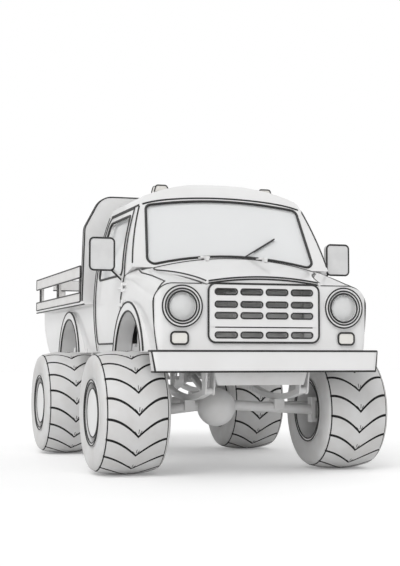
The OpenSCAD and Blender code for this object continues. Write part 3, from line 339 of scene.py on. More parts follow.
def facing(points, x, y, z):
    """Front-view points set upright round (x, y, z)."""
    return [Vector((x + p.x, y, z + p.y)) for p in points]


def side_x(z):
    """Body side at a height, on the left."""
    return HALF_W - SIDE_R + math.sqrt(SIDE_R ** 2 - (z - WAIST_Z) ** 2)


# Radius of the beads by what they edge, steps along them by what they follow, and how far a middle is sunk
BEAD = dict(wheel=0.0055, sipe=0.0058, screen=0.0115, rear_glass=0.0090, window=0.0110, door=0.0085,
            rail=0.0085, brow=0.0080, pillar=0.0068, cab_back=0.0075, board=0.0070, gate=0.0065,
            arch=0.0085, nose=0.0065, guard=0.0065, roof_lamp=0.0060, hood=0.0065, slot=0.0058,
            grille=0.0080, grille_line=0.0045, lamp=0.0066, marker=0.0078, bumper=0.0080,
            mirror=0.0082, mirror_arm=0.0075)
STEPS = dict(sipe=2, door_arch=12, rail=24, brow=32, pillar=20, corner=24, board=20, board_end=4, gate=12,
             arch=40, fender_side=16, shoulder=12, fender_top=6, crease=8, hood_side=30, hood_lip=24,
             hood_rear=30, grille_line=10, bumper=8)
SUNK = 0.001

# Tyres: one closed ring of rubber each, cut by chevron grooves that point down at the front; the groove
# faces and the faces under the tread's edge are near-black rubber as painted shade
LUGS, LUG_ROWS = 18, 6
PITCH = math.tau / LUGS
CHEVRON, CHEVRON_ROUND = math.radians(16), 1.8
GROOVE_HALF, GROOVE_SLOPE, GROOVE_D, GROOVE_STRIPS = 0.0110, 0.0030, 0.018, 3
TREAD_HALF, TREAD_STEPS, TREAD_DROP, TREAD_ROUND = 0.242, 12, 0.030, 2.4
# Under the tread's edge, where the faces get the painted-shade rubber: (past the tread, below its top,
# share of the groove's depth)
TREAD_EDGE = ((0.004, 0.037, 0.8), (0.009, 0.036, 0.3))
WALL = dict(across=0.253, bulge=0.030, drop=0.038, height=0.075, steps=9)
# Lower wall down to the bead: (across, radius)
LOWER_WALL = ((0.281, 0.365), (0.277, 0.325), (0.270, 0.296), (0.262, 0.278), (0.253, 0.2655))
SHARP_EDGE = math.radians(35)
# Small cuts over each chevron's point: (across, along the tread) at both ends, and their middle's depth
SIPES = (((0.0, 0.026), (0.004, 0.062)),
         ((-0.014, 0.026), (-0.034, 0.046)),
         ((0.012, 0.026), (0.026, 0.050)))
SIPE_DEEP = 0.0048
# Dark lines on the rim's two faces: (place outwards, radius)
RIM_LINES = ((0.274, 0.268), (0.270, 0.246), (-0.274, 0.268), (-0.270, 0.246))
# Dark lines on the cap's edge, its root, the web's corner and the hub: (place outwards, radius)
DISC_LINES = ((0.2615, 0.1975), (0.1765, 0.1995), (0.1765, 0.2405), (-0.0405, 0.0875))


def tyre_profile():
    """Section as (across, radius, tread share, groove depth share), from one bead to the other."""
    half = []
    for u in spaced(0, 1, TREAD_STEPS):
        half.append((u * TREAD_HALF, TYRE_R - TREAD_DROP * u ** TREAD_ROUND, u, 1.0))
    half += [(TREAD_HALF + past, TYRE_R - drop, 1.0, depth) for past, drop, depth in TREAD_EDGE]
    for a in spaced(0, math.pi / 2, WALL["steps"])[1:]:
        drop = WALL["drop"] + WALL["height"] * (1 - math.cos(a))
        half.append((WALL["across"] + WALL["bulge"] * math.sin(a), TYRE_R - drop, 1.0, 0.0))
    half += [(across, radius, 1.0, 0.0) for across, radius in LOWER_WALL]
    return [(-a, r, -u, d) for a, r, u, d in reversed(half[1:])] + half


def lug_rows():
    """(turn, groove share) of one lug's rows: the groove's four edges, then the block behind it."""
    edges = (-GROOVE_HALF, -GROOVE_HALF + GROOVE_SLOPE, GROOVE_HALF - GROOVE_SLOPE, GROOVE_HALF)
    rows = [(edge / TYRE_R, cut) for edge, cut in zip(edges, (0.0, 1.0, 1.0, 0.0))]
    block = spaced(rows[-1][0], PITCH + rows[0][0], LUG_ROWS)
    return rows + [(turn, 0.0) for turn in block[1:-1]]


def wheel_point(centre, across, radius, turn):
    return centre + Vector((across, -radius * math.cos(turn), radius * math.sin(turn)))


def tyre_mesh(centre):
    """Vertices, faces and each face's material: 1 (near-black rubber as painted shade) in grooves and under
    the tread's edge, else 0.
    """
    section, rows = tyre_profile(), lug_rows()
    verts, faces, painted_shade_flags = [], [], []
    for lug in range(LUGS):
        for turn, cut in rows:
            for across, radius, u, depth in section:
                sweep = CHEVRON * (1 - (1 - abs(u)) ** CHEVRON_ROUND)
                a = lug * PITCH + turn + sweep
                verts.append(wheel_point(centre, across, radius - GROOVE_D * cut * depth, a))
    n, total = len(section), LUGS * len(rows)
    for i in range(total):
        j = (i + 1) % total
        for k in range(n):
            m = (k + 1) % n
            faces.append((i * n + k, j * n + k, j * n + m, i * n + m))
            depth = min(section[k][3], section[m][3])
            in_groove = i % len(rows) < GROOVE_STRIPS and depth > 0
            under_edge = 0 < depth < 1 and abs(section[k][2]) == 1
            painted_shade_flags.append(1 if in_groove or under_edge else 0)
    return verts, faces, painted_shade_flags


def dress_wheel(end, side):
    name, body, centre = f"tyre_{end}_{side}", f"wheel_{end}_{side}", WHEELS[end, side]
    verts, faces, painted_shade_flags = tyre_mesh(centre)
    # Second material: near-black rubber that paints shade into the grooves and under the tread's edge
    tyre = piece(name + "_rubber", verts, faces, [TREAD, GROOVE_SHADE_RUBBER], body, painted_shade_flags)
    tyre.data.set_sharp_from_angle(angle=SHARP_EDGE)
    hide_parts(name)
    for place, lines in (("rim", RIM_LINES), ("disc", DISC_LINES)):
        runs = [ring(centre + Vector((SIDES[side] * x, 0, 0)), r, "x") for x, r in lines]
        beads(f"{place}_lines_{end}_{side}", runs, BEAD["wheel"], body)
    cuts = []
    for lug in range(LUGS):
        for start, stop in SIPES:
            path = zip(*(spaced(p, q, STEPS["sipe"]) for p, q in zip(start, stop)))
            cuts.append([wheel_point(centre, across, TYRE_R - SIPE_DEEP, lug * PITCH + arc / TYRE_R)
                         for across, arc in path])
    strips(f"tread_sipes_{end}_{side}", cuts, BEAD["sipe"], body)


for end in ENDS:
    for side in SIDES:
        dress_wheel(end, side)

# Cab glass: rubbers round the windscreen and the rear window
SCREEN_UP = Vector((0, math.sin(SCREEN_RAKE), math.cos(SCREEN_RAKE)))
SCREEN = dict(foot=0.748, head=0.690, length=0.600, arch=0.070, crown=0.110, corner=0.060, steps=16)
REAR_GLASS = dict(w=0.990, h=0.370, corner=0.062, z=1.960)
GLASS_GROW, GLASS_STEP = 0.004, 0.03


def on_screen(x, up):
    """Point in the windscreen's plane."""
    return SCREEN_FOOT + Vector((x, 0, 0)) + SCREEN_UP * up


def bowed_edge(half, base, rise):
    """Bowed edge of the windscreen, right to left, with round ends."""
    out = []
    for t in spaced(-1, 1, SCREEN["steps"]):
        out.append((t * half, base + rise * (1 - t * t), SCREEN["corner"] if abs(t) == 1 else 0))
    return out


def screen_points(grow):
    s = SCREEN
    rows = bowed_edge(s["foot"] + grow, -grow, s["crown"])
    rows += reversed(bowed_edge(s["head"] + grow, s["length"] + grow, s["arch"]))
    return [on_screen(p.x, p.y) for p in resample(rounded(rows), GLASS_STEP)]


beads("screen_rubber", [screen_points(GLASS_GROW)], BEAD["screen"], "chassis")
rear_glass = resample(rect(REAR_GLASS["w"], REAR_GLASS["h"], REAR_GLASS["corner"]), GLASS_STEP)
beads("rear_glass_rubber", [facing(rear_glass, 0, BACK_Y, REAR_GLASS["z"])], BEAD["rear_glass"], "chassis")

# Cab sides: door seams, window rubbers and drip rails
DOOR_LOW, DOOR_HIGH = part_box("door_left")
DOOR = dict(top_front=-1.105, belt_front=-1.277, belt=1.644, front=-1.190, knee=0.194, arch_gap=0.007)
DOOR_CORNERS = dict(foot=0.040, rear=0.070, front=0.060, belt=0.030, knee=0.100)
DOOR_GAP, DOOR_OUT = 0.0035, 0.0005
WINDOW = dict(rear=-0.338, low=1.662, high=2.184, top_front=-1.043, low_front=-1.197, corner=0.050)
SIDE_STEP = 0.04
RAIL_FRONT_Y, RAIL_REAR_Y, RAIL_OUT = -1.215, BACK_Y - 0.100, 0.002


def on_body_side(points, side, out):
    """Side-view points (y, z) laid on the bowed body side."""
    return [Vector((SIDES[side] * (side_x(p.y) + out), p.x, p.y)) for p in points]


def door_points(grow):
    """Side view of a door: rear edge, top, raked pillar, knee under the belt and the front arch's arc."""
    d, c = DOOR, DOOR_CORNERS
    rear, front = DOOR_HIGH.y + grow, d["front"] - grow
    low, high = DOOR_LOW.z - grow, DOOR_HIGH.z + grow
    reach = FLARE_R + d["arch_gap"] - grow
    a0, a1 = math.acos((front - FRONT_ARCH_Y) / reach), math.asin((low - ARCH_Z) / reach)
    rows = [(rear, low, c["foot"]), (rear, high, c["rear"]), (d["top_front"] - grow, high, c["front"]),
            (d["belt_front"] - grow, d["belt"], c["belt"]), (front, d["belt"] - d["knee"], c["knee"])]
    for a in spaced(a0, a1, STEPS["door_arch"]):
        rows.append((FRONT_ARCH_Y + reach * math.cos(a), ARCH_Z + reach * math.sin(a), 0))
    return resample(rounded(rows), SIDE_STEP)


def window_points(grow):
    w, corner = WINDOW, WINDOW["corner"]
    rear, low, high = w["rear"] + grow, w["low"] - grow, w["high"] + grow
    rows = [(rear, low, corner), (rear, high, corner), (w["top_front"] - grow, high, corner),
            (w["low_front"] - grow, low, corner)]
    return resample(rounded(rows), SIDE_STEP)


for side, sign in SIDES.items():
    seam = on_body_side(door_points(DOOR_GAP), side, DOOR_OUT)
    beads(f"door_seam_{side}", [seam], BEAD["door"], f"{side}_door")
    window = on_body_side(window_points(GLASS_GROW), side, -SUNK)
    beads(f"window_rubber_{side}", [window], BEAD["window"], f"{side}_door")
    rail_x = sign * (side_x(GUTTER_Z) + RAIL_OUT)
    rail = [Vector((rail_x, y, GUTTER_Z)) for y in spaced(RAIL_FRONT_Y, RAIL_REAR_Y, STEPS["rail"])]
    strips(f"drip_rail_{side}", [rail], BEAD["rail"], "chassis")

# Cab corners: the brow over the windscreen, the front pillars' edges and the back corners
BROW = dict(up=0.036, wider=0.030, end_drop=0.020, end_power=8)
# Ends of the pillars' edges up the windscreen's plane, and the height where the back corners start
PILLAR_LOW, PILLAR_HIGH = 0.020, 0.595
CORNER_FOOT = 1.012
brow = []
for t in spaced(-1, 1, STEPS["brow"]):
    head = SCREEN["length"] + SCREEN["arch"] * (1 - t * t)
    up = head + BROW["up"] - BROW["end_drop"] * t ** BROW["end_power"]
    brow.append(on_screen(t * (SCREEN["head"] + BROW["wider"]), up))
strips("brow_line", [brow], BEAD["brow"], "chassis")
pillar_runs, corner_runs = [], []
for sign in SIDES.values():
    pillar = [on_screen(0, up) for up in spaced(PILLAR_LOW, PILLAR_HIGH, STEPS["pillar"])]
    pillar_runs.append([Vector((sign * (side_x(p.z) - SUNK), p.y, p.z)) for p in pillar])
    heights = spaced(CORNER_FOOT, GUTTER_Z, STEPS["corner"])
    corner_runs.append([Vector((sign * (side_x(z) - SUNK), BACK_Y - SUNK, z)) for z in heights])
strips("pillar_edges", pillar_runs, BEAD["pillar"], "chassis")
strips("cab_back_edges", corner_runs, BEAD["cab_back"], "chassis")

# Bed: dark strips along the boards' and stakes' edges and the rail's lower edge
BOARDS_LOW, BOARDS_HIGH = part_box("stake_side_left")
BED_HALF, BOARD_Y = BOARDS_HIGH.x, (BOARDS_LOW.y, BOARDS_HIGH.y)
BOARD_EDGES = (1.4805, 1.566, 1.710, 1.820)
STAKE_X, STAKE_HALF = BED_HALF - 0.030, 0.023
STAKE_SHARES = (0.061, 0.542, 0.972)
WALL_LOW, WALL_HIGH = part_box("bed_wall_left")
RAIL_EDGE_Z = 1.451
for side, sign in SIDES.items():
    x, stake_x = sign * (BED_HALF - SUNK), sign * (STAKE_X - SUNK)
    runs = [[Vector((x, y, z)) for y in spaced(*BOARD_Y, STEPS["board"])] for z in BOARD_EDGES]
    for edges in (BOARD_EDGES[:2], BOARD_EDGES[2:]):
        runs += [[Vector((x, y, z)) for z in spaced(*edges, STEPS["board_end"])] for y in BOARD_Y]
    rail = spaced(WALL_LOW.y + SUNK, WALL_HIGH.y, STEPS["board"])
    runs.append([Vector((x, y, RAIL_EDGE_Z)) for y in rail])
    for share in STAKE_SHARES:
        mid = BOARD_Y[0] + share * (BOARD_Y[1] - BOARD_Y[0])
        for y in (mid - STAKE_HALF, mid + STAKE_HALF):
            runs.append([Vector((stake_x, y, z)) for z in BOARD_EDGES[1:3]])
    strips(f"board_edges_{side}", runs, BEAD["board"], "chassis")

# Tailgate: edge strips on its panel, boards and stakes
GATE_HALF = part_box("tailgate")[1].x
GATE_LOW, GATE_FACE_Y, GATE_BOARD_Y = 1.124, 2.3255, 2.3055
GATE_STAKES, GATE_STAKE_HALF = (-0.700, 0.0, 0.700), 0.030


def gate_bar(y, x0, z0, x1, z1):
    steps = zip(spaced(x0, x1, STEPS["gate"]), spaced(z0, z1, STEPS["gate"]))
    return [Vector((x, y, z)) for x, z in steps]


gate_runs = [gate_bar(GATE_FACE_Y, -GATE_HALF, GATE_LOW, GATE_HALF, GATE_LOW)]
gate_runs += [gate_bar(GATE_FACE_Y, x, GATE_LOW, x, BOARD_EDGES[0]) for x in (-GATE_HALF, GATE_HALF)]
gate_runs += [gate_bar(GATE_BOARD_Y, -GATE_HALF, z, GATE_HALF, z) for z in BOARD_EDGES[1:]]
for x in GATE_STAKES:
    for edge in (x - GATE_STAKE_HALF, x + GATE_STAKE_HALF):
        gate_runs.append(gate_bar(GATE_FACE_Y, edge, BOARD_EDGES[0], edge, BOARD_EDGES[3]))
strips("gate_edges", gate_runs, BEAD["gate"], "gate")

# Arch edges: an outer and an inner lip on each flare
LIP_UP, LIP_IN, LIP_SUNK = 0.006, 0.003, 0.002


def arch_points(y, radius, x):
    foot = math.asin((BODY_Z + LIP_UP - ARCH_Z) / radius)
    turns = spaced(foot, math.pi - foot, STEPS["arch"])
    return [Vector((x, y - radius * math.cos(a), ARCH_Z + radius * math.sin(a))) for a in turns]


for side, sign in SIDES.items():
    for end, y in zip(ENDS, (FRONT_ARCH_Y, REAR_Y)):
        lips = [arch_points(y, r, sign * (FLARE_X - LIP_SUNK)) for r in (FLARE_R - LIP_IN, ARCH_R + LIP_IN)]
        strips(f"arch_lips_{end}_{side}", lips, BEAD["arch"], "chassis")

# Fenders: the seam at the nose panel and the crease along each shoulder
SEAM_INNER_X = 0.505
# Crease: (length, degrees round the shoulder) from the cowl's corner down to the nose seam
CREASE = ((-1.502, 60), (-1.605, 57), (-1.820, 68), (-2.105, 77), (-2.170, 56), (-2.205, 40))


def mirrored(points):
    return [Vector((-p.x, p.y, p.z)) for p in points]


def shoulder_point(y, a):
    """Point on a fender's shoulder at length y, turned by a from the side to the top."""
    top = FENDER_TOP + (y - FRONT_Y) * math.tan(FENDER_SLOPE)
    z = top - SHOULDER_R + SHOULDER_R * math.sin(a)
    return Vector((min(side_x(z), HALF_W - SHOULDER_R + SHOULDER_R * math.cos(a)), y, z))


def fender_line(y, low, inner):
    """Line across a fender at length y: up the side from low, round the shoulder, inwards to x = inner."""
    heights = spaced(low, shoulder_point(y, 0).z, STEPS["fender_side"])
    out = [Vector((side_x(z), y, z)) for z in heights]
    out += [shoulder_point(y, a) for a in spaced(0, math.pi / 2, STEPS["shoulder"])[1:]]
    edge = out[-1]
    return out + [Vector((x, y, edge.z)) for x in spaced(edge.x, inner, STEPS["fender_top"])[1:]]


def crease_line():
    out = []
    for (y0, a0), (y1, a1) in zip(CREASE, CREASE[1:]):
        steps = zip(spaced(y0, y1, STEPS["crease"]), spaced(a0, a1, STEPS["crease"]))
        out += [shoulder_point(y, math.radians(a)) for y, a in steps][:-1]
    return out


seams = []
for run in (fender_line(NOSE_BACK_Y, NOSE_LOW.z, SEAM_INNER_X), crease_line()):
    seams += [mirrored(run), run]
strips("nose_seams", seams, BEAD["nose"], "chassis")

# Cab guard: a strip along the edges of its front and rear faces
GUARD_LOW, GUARD_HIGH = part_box("cab_guard")
GUARD_FOOT_Z = 1.486
# Half outline from the bed rail up: (x, z, corner radius)
GUARD_SIDE = [(GUARD_HIGH.x, GUARD_FOOT_Z, 0), (0.960, 2.180, 0.120), (0.800, GUARD_HIGH.z, 0.170)]
guard_outline = rounded(GUARD_SIDE + [(-x, z, r) for x, z, r in reversed(GUARD_SIDE)])
guard_runs = [facing(guard_outline, 0, y, 0) for y in (GUARD_LOW.y + SUNK, GUARD_HIGH.y - SUNK)]
strips("guard_edges", guard_runs, BEAD["guard"], "chassis")

# Roof lamps: a dark edge round each front and rear face
ROOF_LAMP_LOW, ROOF_LAMP_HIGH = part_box("roof_lamps")
ROOF_LAMP = dict(half=0.065, rise=0.052, draft=0.018, corner=0.024, foot_up=0.004)
ROOF_LAMP_STEP = 0.02


def roof_top(x):
    return ROOF_Z - ROOF_R + math.sqrt(ROOF_R ** 2 - x * x)


def roof_lamp_outline(mid):
    r = ROOF_LAMP
    right, left, top = mid - r["half"], mid + r["half"], roof_top(mid) + r["rise"]
    rows = [(right, roof_top(right) + r["foot_up"], 0), (left, roof_top(left) + r["foot_up"], 0),
            (left - r["draft"], top, r["corner"]), (right + r["draft"], top, r["corner"])]
    return resample(rounded(rows), ROOF_LAMP_STEP)


lamp_runs = []
for sign in SIDES.values():
    outline = roof_lamp_outline(sign * (ROOF_LAMP_HIGH.x - ROOF_LAMP["half"]))
    lamp_runs += [facing(outline, 0, y, 0) for y in (ROOF_LAMP_LOW.y, ROOF_LAMP_HIGH.y)]
beads("roof_lamp_edges", lamp_runs, BEAD["roof_lamp"], "chassis")

# Hood: strips along its sides, its rear edge and the two edges of its front lip
HOOD_NOSE, HOOD_MID = Vector((0.480, NOSE_Y)), Vector((0.560, FRONT_Y - 0.420))
HOOD_REAR = Vector((0.800, FRONT_Y))
HOOD_REAR_Y, HOOD_LIMIT = FRONT_Y - 0.050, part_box("hood")[1].x
HOOD_SIDE = dict(end=0.004, inset=0.004, sunk=0.002)
HOOD_LIP = dict(half=0.462, proud=0.001, drops=(0.003, 0.022))
HOOD_BACK = dict(half=0.708, inset=0.003)


def circle_middle(p, q, s):
    """Middle of the circle through three points."""
    a, b = q - p, s - p
    k = 2 * (a.x * b.y - a.y * b.x)
    return p + Vector((b.y * a.dot(a) - a.y * b.dot(b), a.x * b.dot(b) - b.x * a.dot(a))) / k


HOOD_C = circle_middle(HOOD_NOSE, HOOD_MID, HOOD_REAR)
HOOD_EDGE_R = (HOOD_C - HOOD_NOSE).length


def hood_edge_x(y):
    return min(HOOD_LIMIT, HOOD_C.x - math.sqrt(HOOD_EDGE_R ** 2 - (y - HOOD_C.y) ** 2))


def hood_top(x, y):
    crown = math.sqrt(HOOD_R ** 2 - x * x) - HOOD_R
    return HOOD_Z + (y - NOSE_Y) * math.tan(HOOD_SLOPE) + crown / math.cos(HOOD_SLOPE)


def hood_side(y):
    x = hood_edge_x(y)
    return Vector((x - HOOD_SIDE["inset"], y, hood_top(x, y) - HOOD_SIDE["sunk"]))


side_y = spaced(NOSE_Y + HOOD_SIDE["end"], HOOD_REAR_Y - HOOD_SIDE["end"], STEPS["hood_side"])
side_run = [hood_side(y) for y in side_y]
hood_runs = [mirrored(side_run), side_run]
lip_x = spaced(-HOOD_LIP["half"], HOOD_LIP["half"], STEPS["hood_lip"])
lip_y = NOSE_Y - HOOD_LIP["proud"]
for drop in HOOD_LIP["drops"]:
    hood_runs.append([Vector((x, lip_y, hood_top(x, NOSE_Y) - drop)) for x in lip_x])
rear_x = spaced(-HOOD_BACK["half"], HOOD_BACK["half"], STEPS["hood_rear"])
rear_y = HOOD_REAR_Y - HOOD_BACK["inset"]
hood_runs.append([Vector((x, rear_y, hood_top(x, HOOD_REAR_Y) - SUNK)) for x in rear_x])
strips("hood_seams", hood_runs, BEAD["hood"], "hood_lid")

# Grille: rubber edge, slot rims and the line between its slots
GRILLE_LOW, GRILLE_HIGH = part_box("grille")
GRILLE_SIZE, GRILLE_CORNER, GRILLE_STEP = GRILLE_HIGH - GRILLE_LOW, 0.060, 0.05
GRILLE_Y, GRILLE_MID_Z = GRILLE_LOW.y, (GRILLE_LOW.z + GRILLE_HIGH.z) / 2
SLOT_L, SLOT_H, SLOT_CORNER, SLOT_PITCH = 0.183, 0.045, 0.0215, 0.213
SLOT_COLUMNS = (-1.5, -0.5, 0.5, 1.5)
# Heights of the slots and of the line as shares of the grille's height
SLOT_ROWS, LINE_ROW = (0.862, 0.648, 0.458, 0.127), 0.258
LINE_HALF, LINE_SUNK = 0.410, 0.002
slot_runs = []
for share in SLOT_ROWS:
    for column in SLOT_COLUMNS:
        x, z = column * SLOT_PITCH, GRILLE_LOW.z + share * GRILLE_SIZE.z
        slot_runs.append(facing(rect(SLOT_L, SLOT_H, SLOT_CORNER), x, GRILLE_Y, z))
beads("slot_rims", slot_runs, BEAD["slot"], "chassis")
grille_outline = resample(rect(GRILLE_SIZE.x, GRILLE_SIZE.z, GRILLE_CORNER), GRILLE_STEP)
beads("grille_edge", [facing(grille_outline, 0, GRILLE_Y, GRILLE_MID_Z)], BEAD["grille"], "chassis")
line_z = GRILLE_LOW.z + LINE_ROW * GRILLE_SIZE.z
line_x = spaced(-LINE_HALF, LINE_HALF, STEPS["grille_line"])
grille_line = [Vector((x, GRILLE_Y + LINE_SUNK, line_z)) for x in line_x]
strips("grille_line", [grille_line], BEAD["grille_line"], "chassis")

# Front lamps: rubber rings on each headlamp as (radius, proud of the nose), and marker surrounds
LAMP_X, LAMP_Z = 0.681, 1.351
LAMP_RINGS = ((0.160, 0.0205), (0.136, 0.0235), (0.115, 0.0225))
MARKER = dict(x=0.702, z=1.104, w=0.138, h=0.094, corner=0.030, proud=0.0155)
marker_outline = rect(MARKER["w"], MARKER["h"], MARKER["corner"])
for side, sign in SIDES.items():
    rings = [ring((sign * LAMP_X, NOSE_Y - proud, LAMP_Z), r, "y") for r, proud in LAMP_RINGS]
    beads(f"lamp_rings_{side}", rings, BEAD["lamp"], "chassis")
    marker = facing(marker_outline, sign * MARKER["x"], NOSE_Y - MARKER["proud"], MARKER["z"])
    beads(f"marker_edge_{side}", [marker], BEAD["marker"], "chassis")

# Bumper: rubber strips along its upper and lower edges and its leaning ends
BUMPER_LOW, BUMPER_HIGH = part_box("front_bumper")
BUMPER_EDGE = 0.004
BUMPER_Z = (BUMPER_LOW.z + BUMPER_EDGE, BUMPER_HIGH.z - BUMPER_EDGE)
BUMPER = dict(plan=0.955, taper=0.024, corner=0.060, sunk=0.002)


def bumper_end(z):
    """Half width at height z, and the angle on the front corner's arc where the leaning end meets it."""
    low, high = BUMPER_Z
    half = BUMPER_HIGH.x - BUMPER["taper"] * (high - z) / (high - low)
    return half, math.acos((half - BUMPER["plan"] + BUMPER["corner"]) / BUMPER["corner"])


def bumper_corner(a, z):
    r = BUMPER["corner"]
    return Vector((BUMPER["plan"] - r + r * math.cos(a) - SUNK,
                   BUMPER_LOW.y + r - r * math.sin(a) + BUMPER["sunk"], z))


def bumper_edge(z):
    half, turn = bumper_end(z)
    path = [Vector((half - SUNK, BUMPER_HIGH.y, z))]
    path += [bumper_corner(a, z) for a in spaced(turn, math.pi / 2, STEPS["bumper"])]
    return path + mirrored(reversed(path))


end_run = [bumper_corner(bumper_end(z)[1], z) for z in spaced(*BUMPER_Z, STEPS["bumper"])]
bumper_runs = [*map(bumper_edge, BUMPER_Z), end_run, mirrored(end_run)]
strips("bumper_strips", bumper_runs, BEAD["bumper"], "chassis")

# Mirrors: edge beads, a strip on the arm and the glass that faces rearwards
MIRROR_LOW, MIRROR_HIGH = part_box("mirror_left")
MIRROR_W, MIRROR_H, MIRROR_CORNER = 0.212, 0.272, 0.036
MIRROR_X, MIRROR_Z = MIRROR_HIGH.x - MIRROR_W / 2, MIRROR_HIGH.z - MIRROR_H / 2
MIRROR_EDGE_SUNK = 0.002
ARM_FOOT = Vector((0.905, FRONT_Y + 0.267, 1.6155))
ARM_NECK = Vector((MIRROR_X - 0.070, middle("mirror_left").y, MIRROR_Z - 0.112))
ARM_SURFACE = Vector((0, -0.007, -0.007))
MIRROR_GLASS = dict(border=0.012, gap=0.0005, t=0.003)


def mirror_glass(side, x):
    """Thin plate on the mirror's rear face."""
    border = MIRROR_GLASS["border"]
    outline = rect(MIRROR_W - 2 * border, MIRROR_H - 2 * border, MIRROR_CORNER - border)
    front = facing(outline, x, MIRROR_HIGH.y + MIRROR_GLASS["gap"], MIRROR_Z)
    back = [v + Vector((0, MIRROR_GLASS["t"], 0)) for v in front]
    n = len(outline)
    faces = [tuple(range(n)), tuple(range(2 * n - 1, n - 1, -1))]
    faces += [(k, n + k, n + (k + 1) % n, (k + 1) % n) for k in range(n)]
    piece(f"mirror_glass_{side}", front + back, faces, [CHROME], f"{side}_door", smooth=False)


mirror_outline = rect(MIRROR_W, MIRROR_H, MIRROR_CORNER)
for side, sign in SIDES.items():
    edge = facing(mirror_outline, sign * MIRROR_X, MIRROR_LOW.y + MIRROR_EDGE_SUNK, MIRROR_Z)
    beads(f"mirror_edge_{side}", [edge], BEAD["mirror"], f"{side}_door")
    arm = [Vector((sign * p.x, p.y, p.z)) + ARM_SURFACE for p in (ARM_FOOT, ARM_NECK)]
    strips(f"mirror_arm_strip_{side}", [arm], BEAD["mirror_arm"], f"{side}_door")
    mirror_glass(side, sign * MIRROR_X)

# Bench seat: two padded cushions with sewn flutes
SEAT_LOW, SEAT_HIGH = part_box("bench_seat")
CUSHION = dict(top=1.4103, rear=-0.380, crown=0.020, flute_d=0.016)
BACKREST = dict(low=1.380, front=-0.360, crown=0.016, flute_d=0.014)
PAD_COUNTS, PAD_CORNER, PAD_PULL = (112, 28, 10), 0.055, 0.012
FLUTES, FLUTE_ROUND = 14, 0.5
# How sharply the crown falls along the pad, and how near the ends and the sides the flutes fade out
CROWN_FALL, FLUTE_END, FLUTE_SIDE = 4, 24, 6


def pad_mesh(centre, size, axes, crown, flute_d):
    """Rounded box whose outer face is crowned and fluted. axes: along, across and outward directions."""
    half = [s / 2 for s in size]
    index, verts, faces = {}, [], []

    def place(i, j, k):
        if (i, j, k) in index:
            return index[i, j, k]
        q = [(2 * n / c - 1) * h for n, c, h in zip((i, j, k), PAD_COUNTS, half)]
        core = [max(PAD_CORNER - h, min(h - PAD_CORNER, v)) for v, h in zip(q, half)]
        off = Vector([v - c for v, c in zip(q, core)])
        p = Vector(core) + (off.normalized() * PAD_CORNER if off.length > 0 else off)
        a, b = p.x / half[0], p.y / half[1]
        rise = max(0.0, p.z / half[2])
        sewn = abs(math.sin(math.pi * FLUTES * (a + 1) / 2)) ** FLUTE_ROUND
        inset = max(0.0, 1 - abs(b) ** FLUTE_SIDE) * max(0.0, 1 - abs(a) ** FLUTE_END)
        p.z += rise * (crown * (1 - a ** CROWN_FALL) * (1 - b * b) - crown - flute_d * (1 - sewn) * inset)
        p.y *= 1 - PAD_PULL * (1 - a * a)
        index[i, j, k] = len(verts)
        verts.append(Vector(centre) + sum((Vector(d) * v for d, v in zip(axes, p)), Vector()))
        return index[i, j, k]

    for axis in range(3):
        o, t = (axis + 1) % 3, (axis + 2) % 3
        for end in (0, PAD_COUNTS[axis]):
            for m in range(PAD_COUNTS[o]):
                for n in range(PAD_COUNTS[t]):
                    quad = []
                    for dm, dn in ((0, 0), (1, 0), (1, 1), (0, 1)):
                        ijk = [0, 0, 0]
                        ijk[axis], ijk[o], ijk[t] = end, m + dm, n + dn
                        quad.append(place(*ijk))
                    faces.append(tuple(quad if end else reversed(quad)))
    return verts, faces


ALONG, REARWARD, UPWARD, FORWARD = (1, 0, 0), (0, 1, 0), (0, 0, 1), (0, -1, 0)
c, b, seat_w = CUSHION, BACKREST, SEAT_HIGH.x - SEAT_LOW.x
cushion_mid = (0, (SEAT_LOW.y + c["rear"]) / 2, (SEAT_LOW.z + c["top"]) / 2)
cushion_size = (seat_w, c["rear"] - SEAT_LOW.y, c["top"] - SEAT_LOW.z)
cv, cf = pad_mesh(cushion_mid, cushion_size, (ALONG, REARWARD, UPWARD), c["crown"], c["flute_d"])
back_mid = (0, (b["front"] + SEAT_HIGH.y) / 2, (b["low"] + SEAT_HIGH.z) / 2)
back_size = (seat_w, SEAT_HIGH.z - b["low"], SEAT_HIGH.y - b["front"])
bv, bf = pad_mesh(back_mid, back_size, (ALONG, UPWARD, FORWARD), b["crown"], b["flute_d"])
pad_faces = cf + [tuple(i + len(cv) for i in f) for f in bf]
seat = piece("seat_pads", cv + bv, pad_faces, [CLOTH], "chassis")
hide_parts("bench_seat")

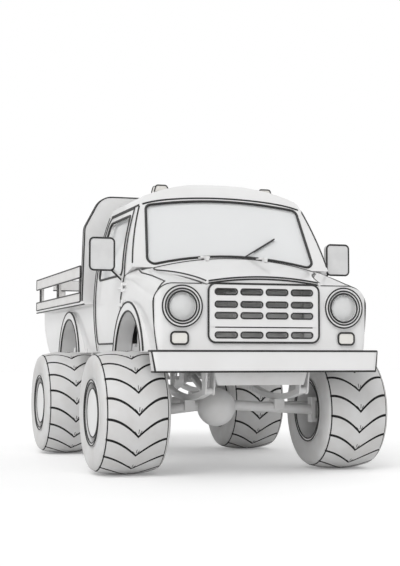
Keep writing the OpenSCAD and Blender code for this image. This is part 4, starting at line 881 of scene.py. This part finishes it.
# Camera
camera = bpy.data.objects.new("camera", bpy.data.cameras.new("camera"))
camera.data.lens = CAM_LENS
camera.data.sensor_width = CAM_SENSOR
camera.data.sensor_fit = "AUTO"
camera.location = CAM_POS
camera.rotation_euler = (math.pi / 2 + CAM_PITCH, 0, -CAM_YAW)
bpy.context.scene.collection.objects.link(camera)
bpy.context.scene.camera = camera
bpy.context.scene.view_settings.view_transform = "Standard"


# Light
def sun_light(name, direction, strength, softness):
    lamp = bpy.data.lights.new(name, "SUN")
    lamp.energy = strength
    lamp.angle = math.radians(softness)
    obj = bpy.data.objects.new(name, lamp)
    obj.rotation_euler = Vector(direction).to_track_quat("-Z", "Y").to_euler()
    bpy.context.scene.collection.objects.link(obj)


def studio_sky():
    """White sky, dimmer as a light than as the camera, gloss and glass see it."""
    world = bpy.data.worlds.new("studio")
    bpy.context.scene.world = world
    world.use_nodes = True
    nodes, links = world.node_tree.nodes, world.node_tree.links
    path = nodes.new("ShaderNodeLightPath")
    seen = path.outputs["Is Camera Ray"]
    for ray in ("Is Glossy Ray", "Is Transmission Ray"):
        either = nodes.new("ShaderNodeMath")
        either.operation = "MAXIMUM"
        links.new(seen, either.inputs[0])
        links.new(path.outputs[ray], either.inputs[1])
        seen = either.outputs[0]
    sky = nodes["Background"]
    set_inputs(sky, {"Color": (1, 1, 1, 1)})
    links.new(map_range(nodes, links, seen, SKY_LIGHT, SKY_SEEN), sky.inputs["Strength"])


def pale_floor():
    """Floor that keeps the shadow and looks a little brighter to the camera."""
    bpy.ops.mesh.primitive_plane_add(size=FLOOR_SIZE, location=(0, 0, 0))
    floor = bpy.context.active_object
    floor.name = "floor"
    mat = surface("pale_floor", grey(0.90), grey(0.88), (0.7, 0.8), mottle=0.6, grain=40, bump=0.02)
    nodes, links = mat.node_tree.nodes, mat.node_tree.links
    path = nodes.new("ShaderNodeLightPath")
    lift = map_range(nodes, links, path.outputs["Is Camera Ray"], 0, FLOOR_LIFT)
    shader = nodes["Principled BSDF"]
    set_inputs(shader, {"Emission Color": (1, 1, 1, 1)})
    links.new(lift, shader.inputs["Emission Strength"])
    floor.data.materials.append(mat)


for name, (direction, strength, softness) in SUNS.items():
    sun_light(name, direction, strength, softness)
studio_sky()
pale_floor()
